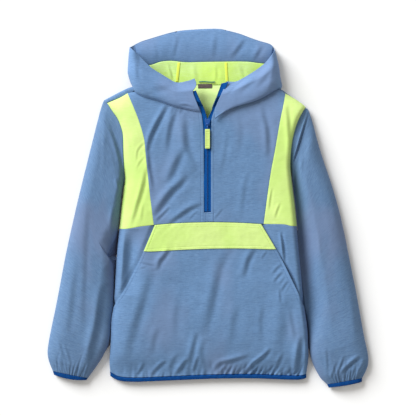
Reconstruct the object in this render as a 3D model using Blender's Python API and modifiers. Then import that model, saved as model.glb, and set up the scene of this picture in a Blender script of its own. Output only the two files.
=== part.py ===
# A child's hooded anorak pullover with a half zip, laid flat on its back on a table.
# +Z is up, the front of the garment faces up, +Y runs towards the hood.
# The tables below are in millimetres; the meshes are made in metres.

import bpy
import bmesh
from bisect import bisect_right
from math import cos, exp, hypot, pi, sin, sqrt

MM = 0.001
CLOTH = 1.2             # wall of every cloth panel
TRIM = 0.8              # wall of tapes, label and flap
SEAM = 0.3              # gap between two pieces at a seam
SLEEVE_RUN = 38.0       # the same for a sleeve
EDGE_GAP = 1.0          # gap between front and back where they meet at a folded side
WAIST_GAP = 0.8         # gap at the waist seam, under the flap
HEM_GAP = 1.4           # gap between the hem and its binding
ARM_GAP_LOW = 3.0       # extra gap of the top ring of a sleeve underneath, on the table
EDGE_RUN = 38.0         # width over which a panel rises from its folded edge
LAP = 8.0               # how far the chest runs up under the hood's edge
BINDING = 8.0           # width of the stretch binding at hem and cuffs
BINDING_WALL = 1.8
ZIP_END = -10.0         # Y of the lower end of the zip slit
POCKET_DROP = 5.0       # how far the panel behind the pocket lies under it
POCKET_LIP = 3.8        # how far it lies under the pocket's free edge
FLAP_RISE = 1.7         # outer side of the flap above the pocket's
HOOD_OVER_CHEST = 2.2   # outer side of the hood's edge above the chest's
HOOD_FOLD = 12.0        # height of the hood's side folds
HOOD_CROWNS = (37, 39)  # height of its left and right side where they stand highest
HOOD_SEAMS = (-62, 36)  # X of the seams between its sides and the centre strip
HOOD_RUN = 40.0         # width over which a side rises from its fold
HOOD_SINK = 6.0         # how far the edge of the opening lies below the crown
LINING_Z = 2.8          # outer side of the back's lining
HOOD_LINING_Z = 3.0     # outer side of the hood's lining and facing where they meet
SLEEVE_EDGES = ((6, 7), (8, 7))     # height of the outer and inner edge, armhole and cuff
HEM_EDGE, HEM_CROWN = 6.0, 12.3     # height of the hem's binding at its sides and between
BINDING_EDGE = 7.0      # height of a cuff's binding at its sides
TAPE_SUNK = 1.7         # how far the zip's tapes lie below the chest's outer side
LABEL_AT, LABEL_SIZE = (-6, 244.4, 3.6), (28, 8.8, 0.8)
PULL_WIDTH = 10.0
PULL_LENGTH = 39.0
PULL_THICK = 3.0
SLIDER_WIDTH = 11.0
SLIDER_LENGTH = 15.0
SLIDER_THICK = 2.6
SLIDER_Y = 171.0
LUG_PIN = 0.9           # radius of the slider's pin
EYE_BORE = 1.3          # radius of the eye of the pull's link
EYE_WALL = 0.9
EYE_WIDTH = 4.4
LINK_REACH = 9.5        # from the pin to the grip
ZIP_X = -1.0            # centre line of the closed zip

# ---- outline and seams: X, Y from the armhole or shoulder down --------------------------
BODY_LEFT = [(-166, 56), (-170, 36), (-178, -42), (-180, -64), (-184, -108), (-186, -144),
             (-188, -184), (-190, -202), (-194, -220), (-195, -254), (-196, -280),
             (-198, -308), (-196, -328)]
BODY_RIGHT = [(165, 84), (166, 72), (170, 36), (174, 6), (178, -36), (180, -64), (184, -104),
              (188, -144), (190, -174), (194, -204), (200, -244), (201, -274), (202, -296),
              (200, -312), (197, -332)]
ARM_LEFT = [(-208, 217), (-202, 210), (-192, 194), (-180, 178), (-174, 162), (-170, 148),
            (-169.4, 116), (-168, 86), (-166, 56)]
ARM_RIGHT = [(199, 198), (196, 202), (188, 190), (178, 170), (170, 142), (166, 116),
             (165, 84)]
INSERT_LEFT_TOP = [(-202, 210), (-176, 221), (-161, 230)]
INSERT_LEFT_SEAM = [(-161, 230), (-140, 182), (-127, 140), (-125, 116), (-121, 76),
                    (-117, 36), (-108, -34)]
INSERT_RIGHT_TOP = [(155, 230), (176, 218), (190, 208), (196, 202)]
INSERT_RIGHT_SEAM = [(155, 230), (150, 202), (144, 176), (134, 116), (124, 66), (111, -32)]
WAIST_SEAM = [(-178, -42), (-160, -42), (-136, -37), (-108, -34), (-76, -31), (-36, -29),
              (-8, -28.5), (6, -28), (64, -29), (111, -32), (154, -32), (164, -36), (178, -36)]
HEM = [(-196, -328), (-180, -338), (-146, -340), (-106, -338), (-16, -334), (14, -333),
       (84, -332), (134, -334), (184, -336), (197, -332)]
POCKET_LEFT = [(-106, -34), (-128, -86), (-140, -112), (-154, -138), (-164, -158),
               (-176, -178), (-188.6, -192)] + BODY_LEFT[7:]
POCKET_RIGHT = [(106, -32), (136, -82), (150, -108), (164, -138), (178, -166), (186, -184),
                (192.6, -197)] + BODY_RIGHT[9:]
NECK_LEFT = [(-145, 231), (-142, 228), (-126, 222), (-106, 217), (-86, 210), (-66, 203),
             (-46, 199), (-26, 195), (-16, 194)]
NECK_RIGHT = [(146, 238), (142, 241), (130, 236), (114, 225), (94, 216), (74, 210),
              (54, 204), (36, 196), (14, 180)]
SHOULDER_LINE = [(-202, 210), (-176, 221), (-161, 230), (-140, 242), (-100, 250), (100, 250),
                 (138, 244), (155, 230), (176, 218), (190, 208), (196, 202)]
# back panel's upper edge on the table: X, Y, how far it goes on from there, and the radius
# it turns up with; it wraps forward over the left shoulder and to half height on the right
BACK_TOP = [(-204, 211.4, 18.8, 6), (-173.2, 227.7, 22.6, 6), (-159, 234.6, 22.2, 6),
            (-152, 237, 16, 6), (-140, 237, 9, 8), (-120, 240, 6, 90), (-60, 240, 6, 200),
            (60, 240, 6, 200), (120, 240, 6, 90), (134, 237, 6, 20), (144, 231, 8, 12),
            (152, 224, 11.4, 8), (172, 211, 11.4, 8), (189, 190.5, 11.4, 8)]

# ---- heights ----------------------------------------------------------------------------
# Y, height of the left edge, height of the right edge, height of the crown
BODY_ROWS = [(250, 12, 8, 24), (210, 12, 8, 28), (203, 13, 8, 29), (194, 15, 13, 30),
             (178, 18, 18, 32), (148, 22, 21, 34), (116, 22, 20, 34), (96, 20, 13, 34),
             (86, 18, 9, 34), (80, 16, 8, 34), (66, 11, 8, 34), (56, 8, 8, 34), (0, 8, 8, 34),
             (-150, 8, 8, 33), (-200, 8, 8, 32), (-250, 8, 8, 29), (-295, 7, 7, 23),
             (-318, 6, 6, 15),
             (-330, 6, 6, 12), (-350, 6, 6, 12)]
# the largest folds: how steeply the cloth falls across the line, the width of the crest on the
# right of the way the line runs and of the hollow on its left, then the line's points
BODY_FOLDS = [
    (1.1, 9, 9, [(-80, 208), (-92, 186), (-100, 172), (-107, 156), (-112, 140), (-115, 118)]),
    (.60, 8, 8, [(-120, 122), (-118, 86), (-112, 56), (-108, 36)]),
    (.50, 10, 9, [(-60, 204), (-70, 180), (-77, 156), (-82, 112)]),
    (.50, 14, 12, [(-47, 190), (-46, 156), (-44, 126), (-36, 106), (-20, 76)]),
    (.45, 15, 11, [(-46, 122), (-60, 96), (-70, 72), (-82, 46)]),
    (.70, 13, 9, [(-42, 66), (-54, 48), (-70, 36), (-90, 10), (-106, -16)]),
    (.55, 10, 7, [(-10, 8), (-36, -2), (-50, -12), (-66, -23), (-80, -34)]),
    (.50, 9, 9, [(106, 204), (118, 160), (120, 128), (119, 100)]),
    (.55, 8, 8, [(157, 210), (160, 176), (163, 140), (168, 92)]),
    (.80, 15, 9, [(-126, 96), (-130, 60), (-134, 40), (-140, 16), (-148, -8), (-156, -38)]),
    (.20, 18, 13, [(46, -80), (28, -108), (20, -134), (14, -164), (8, -194), (-8, -256)]),
    (.30, 11, 8, [(96, -80), (84, -96), (78, -110), (72, -140)]),
    (.19, 18, 15, [(-112, -118), (-128, -180), (-144, -228), (-157, -280), (-162, -306)]),
    (.42, 9, 7, [(-76, -80), (-86, -96), (-96, -106), (-99, -124)]),
    (.40, 13, 8, [(84, -294), (68, -300), (48, -306), (20, -312), (12, -330)]),
    (.60, 10, 9, [(126, -280), (112, -296), (98, -306), (88, -314), (78, -332)]),
    (.55, 10, 9, [(186, -256), (181, -288), (177, -334)]),
    (.14, 24, 20, [(158, -170), (152, -220), (142, -294)]),
]
SLEEVE_LEFT_FOLDS = [
    (.90, 8, 8, [(-200, 166), (-190, 144), (-184, 126), (-178, 106), (-171, 70)]),
    (.35, 8, 9, [(-186, 4), (-189, -20), (-190, -44), (-184, -64)]),
    (.20, 11, 9, [(-238, 0), (-242, -40), (-246, -130), (-250, -250)]),
    (.45, 10, 9, [(-222, -170), (-226, -220), (-232, -270), (-240, -300)]),
]
SLEEVE_RIGHT_FOLDS = [
    (1.5, 7, 8, [(201, 202), (199, 186), (192, 158), (182, 130), (172, 102), (166, 70)]),
    (.35, 9, 12, [(196, 30), (198, -20), (200, -70), (198, -130)]),
    (.90, 9, 9, [(304, -296), (300, -300), (288, -308), (266, -330)]),
    (.70, 9, 9, [(318, -300), (312, -310), (306, -322), (296, -344)]),
]
# how far the inner side of each sleeve is tucked down beside the body
SLEEVE_TUCK = (0.3, 0.8)

# ---- sleeves: outer line, inner line, cuff -----------------------------------------------
SLEEVE_LEFT_OUTER = [(-208.8, 216.8), (-214, 202), (-220, 180), (-236, 116), (-256, 36),
                     (-270, -24), (-286, -96), (-302, -184), (-316, -250), (-321, -278),
                     (-322, -292), (-319, -308), (-311, -327)]
SLEEVE_LEFT_INNER = [(-167.3, 56), (-171.4, 36), (-175.4, 0), (-179.4, -42), (-184, -60),
                     (-196, -84), (-200, -98), (-194, -116), (-189, -136), (-190.4, -184),
                     (-192, -202), (-196, -220), (-197, -254), (-200, -276), (-212, -300),
                     (-224, -318), (-241, -341)]
SLEEVE_RIGHT_OUTER = [(199.8, 197.8), (210, 172), (224, 116), (250, 42), (268, -24),
                      (284, -104), (300, -184), (312, -254), (320, -288), (322, -304),
                      (320, -320), (309, -341)]
SLEEVE_RIGHT_INNER = [(165.8, 84), (167.4, 72), (171.4, 36), (175.4, 6), (179.4, -36),
                      (181.4, -64), (185.6, -104), (190, -144), (193, -174), (197, -204),
                      (203, -244), (205, -274), (206, -292), (210, -312), (222, -334),
                      (234, -348)]

# ---- hood --------------------------------------------------------------------------------
HOOD_LEFT_FOLD = [(-146, 232), (-151, 242), (-156, 252), (-159, 262), (-161.4, 272),
                  (-160, 290), (-159, 306), (-157, 322)]
HOOD_LEFT_OPEN = [(-157, 322), (-136, 303), (-120, 286), (-106, 275), (-92, 267),
                  (-76, 257), (-68, 252), (-60, 250), (-48, 252), (-36, 255), (-27, 259)]
HOOD_LEFT_ZIP = [(-16, 194), (-24, 214), (-31, 232), (-27, 238), (-24, 242), (-23, 250),
                 (-27, 259)]
HOOD_LEFT_BACK = [(-157, 322), (-136, 334), (-116, 340), (-90, 348), (-72, 353), (-62, 355)]
HOOD_RIGHT_FOLD = [(146, 238), (144, 246), (145, 256), (144, 272), (142, 286), (138, 302),
                   (134, 316)]
HOOD_RIGHT_OPEN = [(134, 316), (120, 296), (110, 286), (94, 274), (78, 264), (64, 256),
                   (56, 252), (44, 252), (38, 253)]
HOOD_RIGHT_ZIP = [(14, 180), (14, 200), (26, 226), (38, 253)]
HOOD_RIGHT_BACK = [(134, 316), (131, 324), (124, 330), (104, 335), (84, 342), (64, 350),
                   (44, 355), (36, 357)]
HOOD_TOP = [(-62, 355), (-46, 357), (-16, 359), (14, 360), (28, 359), (36, 357)]
HOOD_NECK_Y = 246.5
FACING_TOP = [(-146, 326), (-136, 332), (-116, 338), (-90, 346), (-72, 351), (-46, 355),
              (-16, 357), (14, 358), (28, 357), (44, 353), (64, 348), (84, 340),
              (104, 333), (122, 327)]
FACING_SEAM = [(-140, 284), (-120, 286), (-110, 288), (-96, 294), (-72, 296), (-46, 292),
               (-16, 293), (44, 294), (80, 294), (100, 290), (118, 286)]
LINING_LOW = [(-104, 250), (-40, 251), (40, 251), (96, 250)]
FACING_DENTS = [(.40, 9, 9, [(78, 344), (62, 322), (44, 296)]),
                (.28, 9, 9, [(16, 358), (14, 326), (12, 296)]),
                (.36, 9, 9, [(112, 332), (100, 310), (90, 292)])]

# ---- colours: red, green, blue, then roughness -------------------------------------------
BLUE = (0.150, 0.275, 0.520, 0.85)
NEON = (0.720, 0.920, 0.330, 0.80)
LINING = (0.590, 0.860, 0.200, 0.80)
TAPE = (0.800, 0.950, 0.120, 0.75)
NAVY = (0.005, 0.045, 0.230, 0.80)
ZIP_BLUE = (0.006, 0.100, 0.390, 0.60)
TAUPE = (0.145, 0.105, 0.085, 0.80)
TEAL = (0.080, 0.270, 0.200, 0.70)
ENAMEL = (0.004, 0.060, 0.260, 0.35)
PULL = (0.800, 0.950, 0.300, 0.45)


def at(table, key, column=1):
    """Straight-line reading of a table whose first column rises or falls."""
    rows = table if table[0][0] < table[-1][0] else table[::-1]
    keys = [row[0] for row in rows]
    i = min(max(bisect_right(keys, key) - 1, 0), len(rows) - 2)
    f = (key - keys[i]) / (keys[i + 1] - keys[i])
    f = min(max(f, 0.0), 1.0)
    return rows[i][column] + f * (rows[i + 1][column] - rows[i][column])


def walk(points, share):
    """The point a share of the way along a line of points."""
    lengths = [hypot(b[0] - a[0], b[1] - a[1]) for a, b in zip(points, points[1:])]
    left = min(max(share, 0.0), 1.0) * sum(lengths)
    for a, b, length in zip(points, points[1:], lengths):
        if left <= length:
            f = left / length
            return tuple(p + f * (q - p) for p, q in zip(a, b))
        left -= length
    return tuple(points[-1])


def patch(bottom, top, left, right):
    """A plan surface between four lines; bottom and top run left to right, the sides up."""
    def place(u, v):
        b, t, l, r = walk(bottom, u), walk(top, u), walk(left, v), walk(right, v)
        b0, b1, t0, t1 = walk(bottom, 0), walk(bottom, 1), walk(top, 0), walk(top, 1)
        return tuple((1 - v) * b[i] + v * t[i] + (1 - u) * l[i] + u * r[i]
                     - (1 - u) * (1 - v) * b0[i] - u * (1 - v) * b1[i]
                     - (1 - u) * v * t0[i] - u * v * t1[i] for i in (0, 1))
    return place


def mix(a, b, f):
    return a + (b - a) * f


def ease(f):
    f = min(max(f, 0.0), 1.0)
    return f * f * (3 - 2 * f)


def rise(distance, run):
    """Quarter of an ellipse: straight up at the edge, level after the run."""
    q = min(max(distance / run, 0.0), 1.0)
    return sqrt(1 - (1 - q) ** 2)


def folds(table, x, y):
    """Sum of folds: each falls away across its line and fades out at both ends."""
    total = 0.0
    for steep, crest, hollow, line in table:
        nearest, share, side = None, 0.0, 0.0
        for i, (a, b) in enumerate(zip(line, line[1:])):
            dx, dy = b[0] - a[0], b[1] - a[1]
            f = ((x - a[0]) * dx + (y - a[1]) * dy) / (dx * dx + dy * dy)
            f = min(max(f, 0.0), 1.0)
            off_x, off_y = x - a[0] - f * dx, y - a[1] - f * dy
            off = hypot(off_x, off_y)
            if nearest is None or off < nearest:
                nearest, share = off, (i + f) / (len(line) - 1)
                side = dx * off_y - dy * off_x
        width = hollow if side > 0 else crest
        if nearest < 3 * width:
            away = nearest if side > 0 else -nearest
            total -= steep * away * exp(-(nearest / width) ** 2) * max(0, sin(pi * share)) ** 0.7
    return total


def stations(length, edge, step, far_edge=None):
    """Shares along a length, close together at the edges and a step apart between."""
    far_edge = edge if far_edge is None else far_edge
    inner = length - edge[-1] - far_edge[-1]
    count = max(1, round(inner / step))
    marks = list(edge) + [edge[-1] + inner * i / count for i in range(1, count)]
    return [m / length for m in marks] + [1 - m / length for m in reversed(far_edge)]


FOLDED = (0, 1, 4, 10, 20, 36)      # columns at an edge that folds over
SEWN = (0, 12)                      # columns at a flat seam


def colour(name, tone):
    material = bpy.data.materials.new(name + "_colour")
    material.use_nodes = True
    shader = material.node_tree.nodes["Principled BSDF"]
    shader.inputs["Base Color"].default_value = (*tone[:3], 1)
    shader.inputs["Roughness"].default_value = tone[3]
    return material


def finish(bm, name, tone, wall=None):
    mesh = bpy.data.meshes.new(name)
    for vertex in bm.verts:
        vertex.co *= MM
    bm.to_mesh(mesh)
    bm.free()
    piece = bpy.data.objects.new(name, mesh)
    mesh.materials.append(colour(name, tone))
    mesh.shade_smooth()
    garment.objects.link(piece)
    if wall:
        shell = piece.modifiers.new("wall", "SOLIDIFY")
        shell.thickness = wall * MM
        shell.offset = -1
        shell.use_rim = True
    return piece


def sheet(name, place, across, along, tone, wall=CLOTH, flip=False, ring=False, drop=None,
          fine=None):
    """A grid bent onto place(u, v), with a wall inwards from it."""
    bm = bmesh.new()
    bmesh.ops.create_grid(bm, x_segments=len(across) - 1, y_segments=len(along) - 1, size=0.5)
    share_u = bm.verts.layers.float.new("u")
    share_v = bm.verts.layers.float.new("v")
    for vertex in bm.verts:
        vertex[share_u] = across[round((vertex.co.x + 0.5) * (len(across) - 1))]
        vertex[share_v] = along[round((vertex.co.y + 0.5) * (len(along) - 1))]
    if drop:
        gone = [f for f in bm.faces if drop(sum(v[share_u] for v in f.verts) / 4,
                                            sum(v[share_v] for v in f.verts) / 4)]
        bmesh.ops.delete(bm, geom=gone, context="FACES")
    if fine:
        limit, cuts = fine
        close = [e for e in bm.edges if abs(e.verts[0][share_v] - e.verts[1][share_v]) < 1e-6
                 and limit(e.verts[0][share_v])]
        bmesh.ops.subdivide_edges(bm, edges=close, cuts=cuts, use_grid_fill=True)
    if ring:
        ends = [[v for v in bm.verts if abs(v[share_u] - end) < 1e-6] for end in (0, 1)]
        for side in ends:
            side.sort(key=lambda v: v[share_v])
        bmesh.ops.weld_verts(bm, targetmap=dict(zip(ends[1], ends[0])))
    for vertex in bm.verts:
        vertex.co = place(vertex[share_u], vertex[share_v])
    if flip:
        bmesh.ops.reverse_faces(bm, faces=bm.faces[:])
    return finish(bm, name, tone, wall)


def block(name, tone, centre, size, bevel):
    bm = bmesh.new()
    bmesh.ops.create_cube(bm, size=1.0)
    for vertex in bm.verts:
        vertex.co = [c + s * p for c, s, p in zip(centre, size, vertex.co)]
    piece = finish(bm, name, tone)
    soft = piece.modifiers.new("soft", "BEVEL")
    soft.width = bevel * MM
    soft.segments = 2
    return piece


# ---- the surface of the front ------------------------------------------------------------
def body_edges(y):
    left = ARM_LEFT[1:-1] + BODY_LEFT
    right = ARM_RIGHT[1:-1] + BODY_RIGHT
    return (at([(q, p) for p, q in left], y), at([(q, p) for p, q in right], y))


def gathers(x, y):
    """Small pleats drawn up by the stretch hem."""
    near = y - at(HEM, x)
    return 1.7 * exp(-(near / 20) ** 2) * sin(x * 0.375 + 1.3 * sin(x * 0.031))


def front_height(x, y, plain=False):
    left, right = body_edges(y)
    edge = mix(at(BODY_ROWS, y, 1), at(BODY_ROWS, y, 2), (x - left) / (right - left))
    shape = (rise(x - left, EDGE_RUN) * rise(right - x, EDGE_RUN)
             * rise(at(SHOULDER_LINE, x) - y, EDGE_RUN))
    lift = at(BODY_ROWS, y, 3) - edge
    if not plain:
        lift += folds(BODY_FOLDS, x, y) + gathers(x, y)
    return edge + lift * shape


def front_normal(x, y):
    step = 0.4
    left, right = body_edges(y)
    x = min(max(x, left + step), right - step)
    y = min(y, at(SHOULDER_LINE, x) - step)
    dx = (front_height(x + step, y) - front_height(x - step, y)) / (2 * step)
    dy = (front_height(x, y + step) - front_height(x, y - step)) / (2 * step)
    size = sqrt(dx * dx + dy * dy + 1)
    return -dx / size, -dy / size, 1 / size


def on_front(plan, depth=0.0, inset=(0, 0, 0, 0), plain=False):
    """Plan surface lifted onto the front, inset in mm at left, right, bottom and top."""
    def place(u, v):
        a, b, c, d = plan(0, v), plan(1, v), plan(u, 0), plan(u, 1)
        width, height = hypot(b[0] - a[0], b[1] - a[1]), hypot(d[0] - c[0], d[1] - c[1])
        u2 = min(max(u, inset[0] / width), 1 - inset[1] / width)
        v2 = min(max(v, inset[2] / height), 1 - inset[3] / height)
        x, y = plan(u2, v2)
        sunk = depth(x, y) if callable(depth) else depth
        z = front_height(x, y, plain)
        if sunk == 0:
            return x, y, z
        nx, ny, nz = front_normal(x, y)
        return x - nx * sunk, y - ny * sunk, z - nz * sunk
    return place


def up(line):
    return line[::-1]


def build_front():
    half = SEAM / 2
    rows = stations(230, (0, 14), 16)
    sheet("insert_left", on_front(patch([(-178, -42), (-160, -42), (-136, -37), (-108, -34)],
                                        INSERT_LEFT_TOP, up(ARM_LEFT[1:] + BODY_LEFT[1:3]),
                                        up(INSERT_LEFT_SEAM)), inset=(0, half, half, half)),
          stations(62, FOLDED, 13, SEWN), rows, NEON)
    sheet("insert_right", on_front(patch([(111, -32), (154, -32), (164, -36), (178, -36)],
                                         INSERT_RIGHT_TOP, up(INSERT_RIGHT_SEAM),
                                         up(ARM_RIGHT[1:] + BODY_RIGHT[1:5])),
                                   inset=(half, 0, half, half)),
          stations(62, SEWN, 13, FOLDED), rows, NEON)

    slit_left = [(-8, -28.5), (-8, 168), (-17, 202)]
    slit_right = [(6, -28), (6, 166), (7, 180), (16, 204)]
    neck_l = [(x, y + LAP) for x, y in NECK_LEFT[2:-1]]
    neck_l = [(-161, 230), (-145, 233)] + neck_l + [(-17, 202)]
    neck_r = [(x, y + LAP) for x, y in NECK_RIGHT[-3:2:-1]]
    neck_r = [(16, 204), (36, 204)] + neck_r + [(145, 238), (155, 230)]
    waist_l = [p for p in WAIST_SEAM if -108 <= p[0] <= -36] + [(-8, -28.5)]
    waist_r = [(6, -28)] + [p for p in WAIST_SEAM if 64 <= p[0] <= 111]
    plan_l = patch(waist_l, neck_l, up(INSERT_LEFT_SEAM), slit_left)
    plan_m = patch([(-8, -28.5), (6, -28)], [(-17, 202), (16, 204)], slit_left, slit_right)
    plan_r = patch(waist_r, neck_r, slit_right, up(INSERT_RIGHT_SEAM))
    u_left, u_right = 0.46, 0.52

    def chest(u, v):
        if u <= u_left:
            return plan_l(u / u_left, v)
        if u <= u_right:
            return plan_m((u - u_left) / (u_right - u_left), v)
        return plan_r((u - u_right) / (1 - u_right), v)

    slit_low = (ZIP_END + 29) / 232
    chest_rows = sorted(rows + [slit_low])
    columns = ([u_left * i / 7 for i in range(8)]
               + [u_right + (1 - u_right) * i / 7 for i in range(8)])
    sheet("front_chest", on_front(chest, inset=(half, half, WAIST_GAP / 2, 0)), columns,
          chest_rows, BLUE, drop=lambda u, v: u_left < u < u_right and v > slit_low)

    pocket_plan = patch(HEM, [p for p in WAIST_SEAM if -108 <= p[0] <= 111], up(POCKET_LEFT),
                        up(POCKET_RIGHT))
    flap_low = 0.82
    pocket_rows = [0, .025, .06, .10, .15] + [.15 + (flap_low - .15) * i / 10
                                              for i in range(1, 11)] + [.88, .94, 1]
    pocket_columns = stations(392, FOLDED, 16)
    sheet("pocket", on_front(pocket_plan, inset=(0, 0, 0, WAIST_GAP / 2)), pocket_columns,
          pocket_rows, BLUE, fine=(lambda v: v < 0.09, 1))
    flap_rows = [flap_low, .88, .94, 1]
    sheet("pocket_flap", on_front(pocket_plan, depth=-FLAP_RISE, inset=(0, 0, 0, 0.8)),
          pocket_columns, flap_rows, NEON, wall=TRIM)

    def under_pocket(x, y):
        left = x - at([(q, p) for p, q in POCKET_LEFT], y)
        right = at([(q, p) for p, q in POCKET_RIGHT], y) - x
        inside = min(left, right) * 0.85
        return (POCKET_LIP * ease((inside + 14) / 14)
                + (POCKET_DROP - POCKET_LIP) * ease(inside / 12))

    low = [(x, y + 14) for x, y in HEM]
    low[0], low[-1] = (-197.6, -312), (200, -312)
    sheet("front_lower", on_front(patch(low, WAIST_SEAM, up(BODY_LEFT[2:-1]),
                                        up(BODY_RIGHT[4:-1])), depth=under_pocket,
                                  inset=(0, 0, 0, half), plain=True),
          stations(360, FOLDED, 26), stations(275, (0, 20), 19), BLUE)


# ---- the back, flat on the table with its edges turned up ---------------------------------
def build_back():
    top = [row[:2] for row in BACK_TOP]
    plan = patch(HEM, top, up([top[0]] + ARM_LEFT[2:-1] + BODY_LEFT),
                 up([top[-1]] + ARM_RIGHT[2:-1] + BODY_RIGHT))

    def place(u, v):
        x, y = plan(u, min(v, 1.0))
        left, right = plan(0, min(v, 1.0)), plan(1, min(v, 1.0))
        z = 0.0
        for near, column, end in ((x - left[0], 1, 50), (right[0] - x, 2, 78)):
            side = min(at(BODY_ROWS, y, column), 8)
            turned = 1 - ease((y - end) / 20)
            z = max(z, (side - EDGE_GAP) * turned * (1 - rise(near, side)))
        if v > 1:
            x_top, y_top, reach, radius = walk(BACK_TOP, u)
            length = reach * (v - 1)
            turn = min(length / radius, pi)
            lean_x, lean_y = (-0.46, 0.89) if x < -100 else ((0.5, 0.86) if x > 100 else (0, 1))
            out = radius * sin(turn) - max(0.0, length - pi * radius)
            x += lean_x * out
            y += lean_y * out
            z += radius * (1 - cos(turn))
        return x, y, z

    rows = [0, .02, .05, .10] + [.10 + .9 * i / 13 for i in range(1, 14)]
    turns = [1 + i / 6 for i in range(1, 7)]
    # closer columns at the side edges and where the shoulders run into the neck
    edge = [0, .0026, .0077, .02, .048]
    columns = edge + [.121, .139, .168, .215, .29, .37, .46, .54, .63, .71, .785, .82, .854]
    columns += [.879] + [1 - c for c in reversed(edge)]
    sheet("back_body", place, columns, rows + turns, BLUE, flip=True)


# ---- sleeves -------------------------------------------------------------------------------
TOP_SHARES = (0, .012, .05, .12, .22, .35, .5, .65, .78, .88, .95, .988, 1)
LOW_SHARES = (.975, .93, .75, .5, .25, .07, .025)


def ring_stations(top=TOP_SHARES, low=LOW_SHARES):
    upper = [0.5 * i / (len(top) - 1) for i in range(len(top))]
    lower = [0.5 + 0.5 * (i + 1) / (len(low) + 1) for i in range(len(low))]
    return upper + lower + [1.0]


def around(k, top=TOP_SHARES, low=LOW_SHARES):
    """Share of the chord, and whether it is on the upper side, for a place in the ring."""
    shares = top if k <= 0.5 else (1,) + low + (0,)
    f = (k if k <= 0.5 else k - 0.5) * 2 * (len(shares) - 1)
    i = min(int(f), len(shares) - 2)
    return mix(shares[i], shares[i + 1], f - i), k <= 0.5


def sleeve_place(outer, inner, arm, seam_height, fold_table, crown, tuck):
    outward = 1 if outer[0][0] > 0 else -1

    def place(k, v):
        s, top = around(k)
        a, b = walk(outer, v), walk(inner, v)
        width = hypot(b[0] - a[0], b[1] - a[1])
        x, y = mix(a[0], b[0], s), mix(a[1], b[1], s)
        keep = max(0.0, 1 - v / 0.35) ** 2
        mark = walk(arm, s)
        x += keep * (mark[0] - mix(arm[0][0], arm[-1][0], s))
        y += keep * (mark[1] - mix(arm[0][1], arm[-1][1], s))
        side = mix(mix(*SLEEVE_EDGES[0], v), mix(*SLEEVE_EDGES[1], v), s)
        if not top:
            near = min(s, 1 - s) * width
            x += outward * ARM_GAP_LOW * sin(pi * s) * (1 - ease(v / 0.05))
            return x, y, side - side * rise(near, side)
        run = min(width * 0.5, SLEEVE_RUN)
        tucked = tuck * ease(v / 0.1) * ease((0.8 - v) / 0.2)
        inside = (1 - s) * width
        shape = rise(s * width, run) * mix(rise(inside, run), ease(inside / run), tucked)
        height = at(crown, v)
        lift = height - side + folds(fold_table, x, y) * ease(v / 0.04)
        lift += 1.3 * ease((v - 0.9) / 0.1) * sin(s * 66)
        dome = side + lift * shape
        return x, y, mix(seam_height(mark, s, width), dome, ease(v / 0.07))
    return place


CROWN = [(0, 24), (0.1, 30), (0.5, 31), (0.85, 28), (0.95, 22), (1, 15)]


def seam_left(mark, s, width):
    if mark[1] > 210:
        return 6 + 6 * rise(hypot(mark[0] + 208, mark[1] - 217), 9)
    return at(BODY_ROWS, mark[1], 1)


def seam_right(mark, s, width):
    return at(BODY_ROWS, mark[1], 2)


def cuff_place(ends, low_ends, bow, height):
    def place(k, v):
        s, top = around(k)
        a = [mix(p, q, v) for p, q in zip(ends[0], low_ends[0])]
        b = [mix(p, q, v) for p, q in zip(ends[1], low_ends[1])]
        width = hypot(b[0] - a[0], b[1] - a[1])
        x = mix(a[0], b[0], s)
        y = mix(a[1], b[1], s) - v * bow * sin(pi * s)
        if not top:
            return x, y, BINDING_EDGE * (1 - rise(min(s, 1 - s) * width, BINDING_EDGE))
        crown = rise(s * width, 32) * rise((1 - s) * width, 32)
        return x, y, BINDING_EDGE + (height - BINDING_EDGE) * crown
    return place


def build_sleeves():
    rings = [0, .014, .034, .07, .11, .16] + [.16 + .74 * i / 12 for i in range(1, 13)]
    rings += [.94, .975, 1]
    sheet("sleeve_left", sleeve_place(SLEEVE_LEFT_OUTER, SLEEVE_LEFT_INNER, ARM_LEFT,
                                      seam_left, SLEEVE_LEFT_FOLDS, CROWN,
                                      SLEEVE_TUCK[0]),
          ring_stations(), rings, BLUE, ring=True, flip=True, fine=(lambda v: v > 0.93, 2))
    sheet("sleeve_right", sleeve_place(SLEEVE_RIGHT_OUTER, SLEEVE_RIGHT_INNER, ARM_RIGHT,
                                       seam_right, SLEEVE_RIGHT_FOLDS, CROWN,
                                       SLEEVE_TUCK[1]),
          ring_stations(), rings, BLUE, ring=True, fine=(lambda v: v > 0.93, 2))
    sheet("cuff_binding_left", cuff_place(((-311, -327.5), (-241, -341.5)),
                                          ((-308.5, -335.5), (-242, -347)), 4, 15.5),
          ring_stations(), [0, .5, 1], NAVY, wall=BINDING_WALL, ring=True, flip=True)
    sheet("cuff_binding_right", cuff_place(((309, -341.5), (234, -348.5)),
                                           ((306, -349.5), (238, -356)), 5, 15.5),
          ring_stations(), [0, .5, 1], NAVY, wall=BINDING_WALL, ring=True)


def build_hem():
    width = HEM[-1][0] - HEM[0][0]
    upper = tuple(stations(width, FOLDED, 14))
    lower = tuple(1 - m for m in stations(width, (0, 2, 6, 16, 30, 50), 42)[1:-1])

    def place(k, v):
        s, top = around(k, upper, lower)
        x = HEM[0][0] + width * s
        y = at(HEM, x) - HEM_GAP - v * BINDING
        if top:
            crown = rise(s * width, EDGE_RUN) * rise((1 - s) * width, EDGE_RUN)
            return x, y, mix(HEM_EDGE, HEM_CROWN, crown)
        return x, y, HEM_EDGE * (1 - rise(min(s, 1 - s) * width, HEM_EDGE))
    sheet("hem_binding", place, ring_stations(upper, lower), [0, .5, 1], NAVY,
          wall=BINDING_WALL, ring=True, flip=True)


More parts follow.
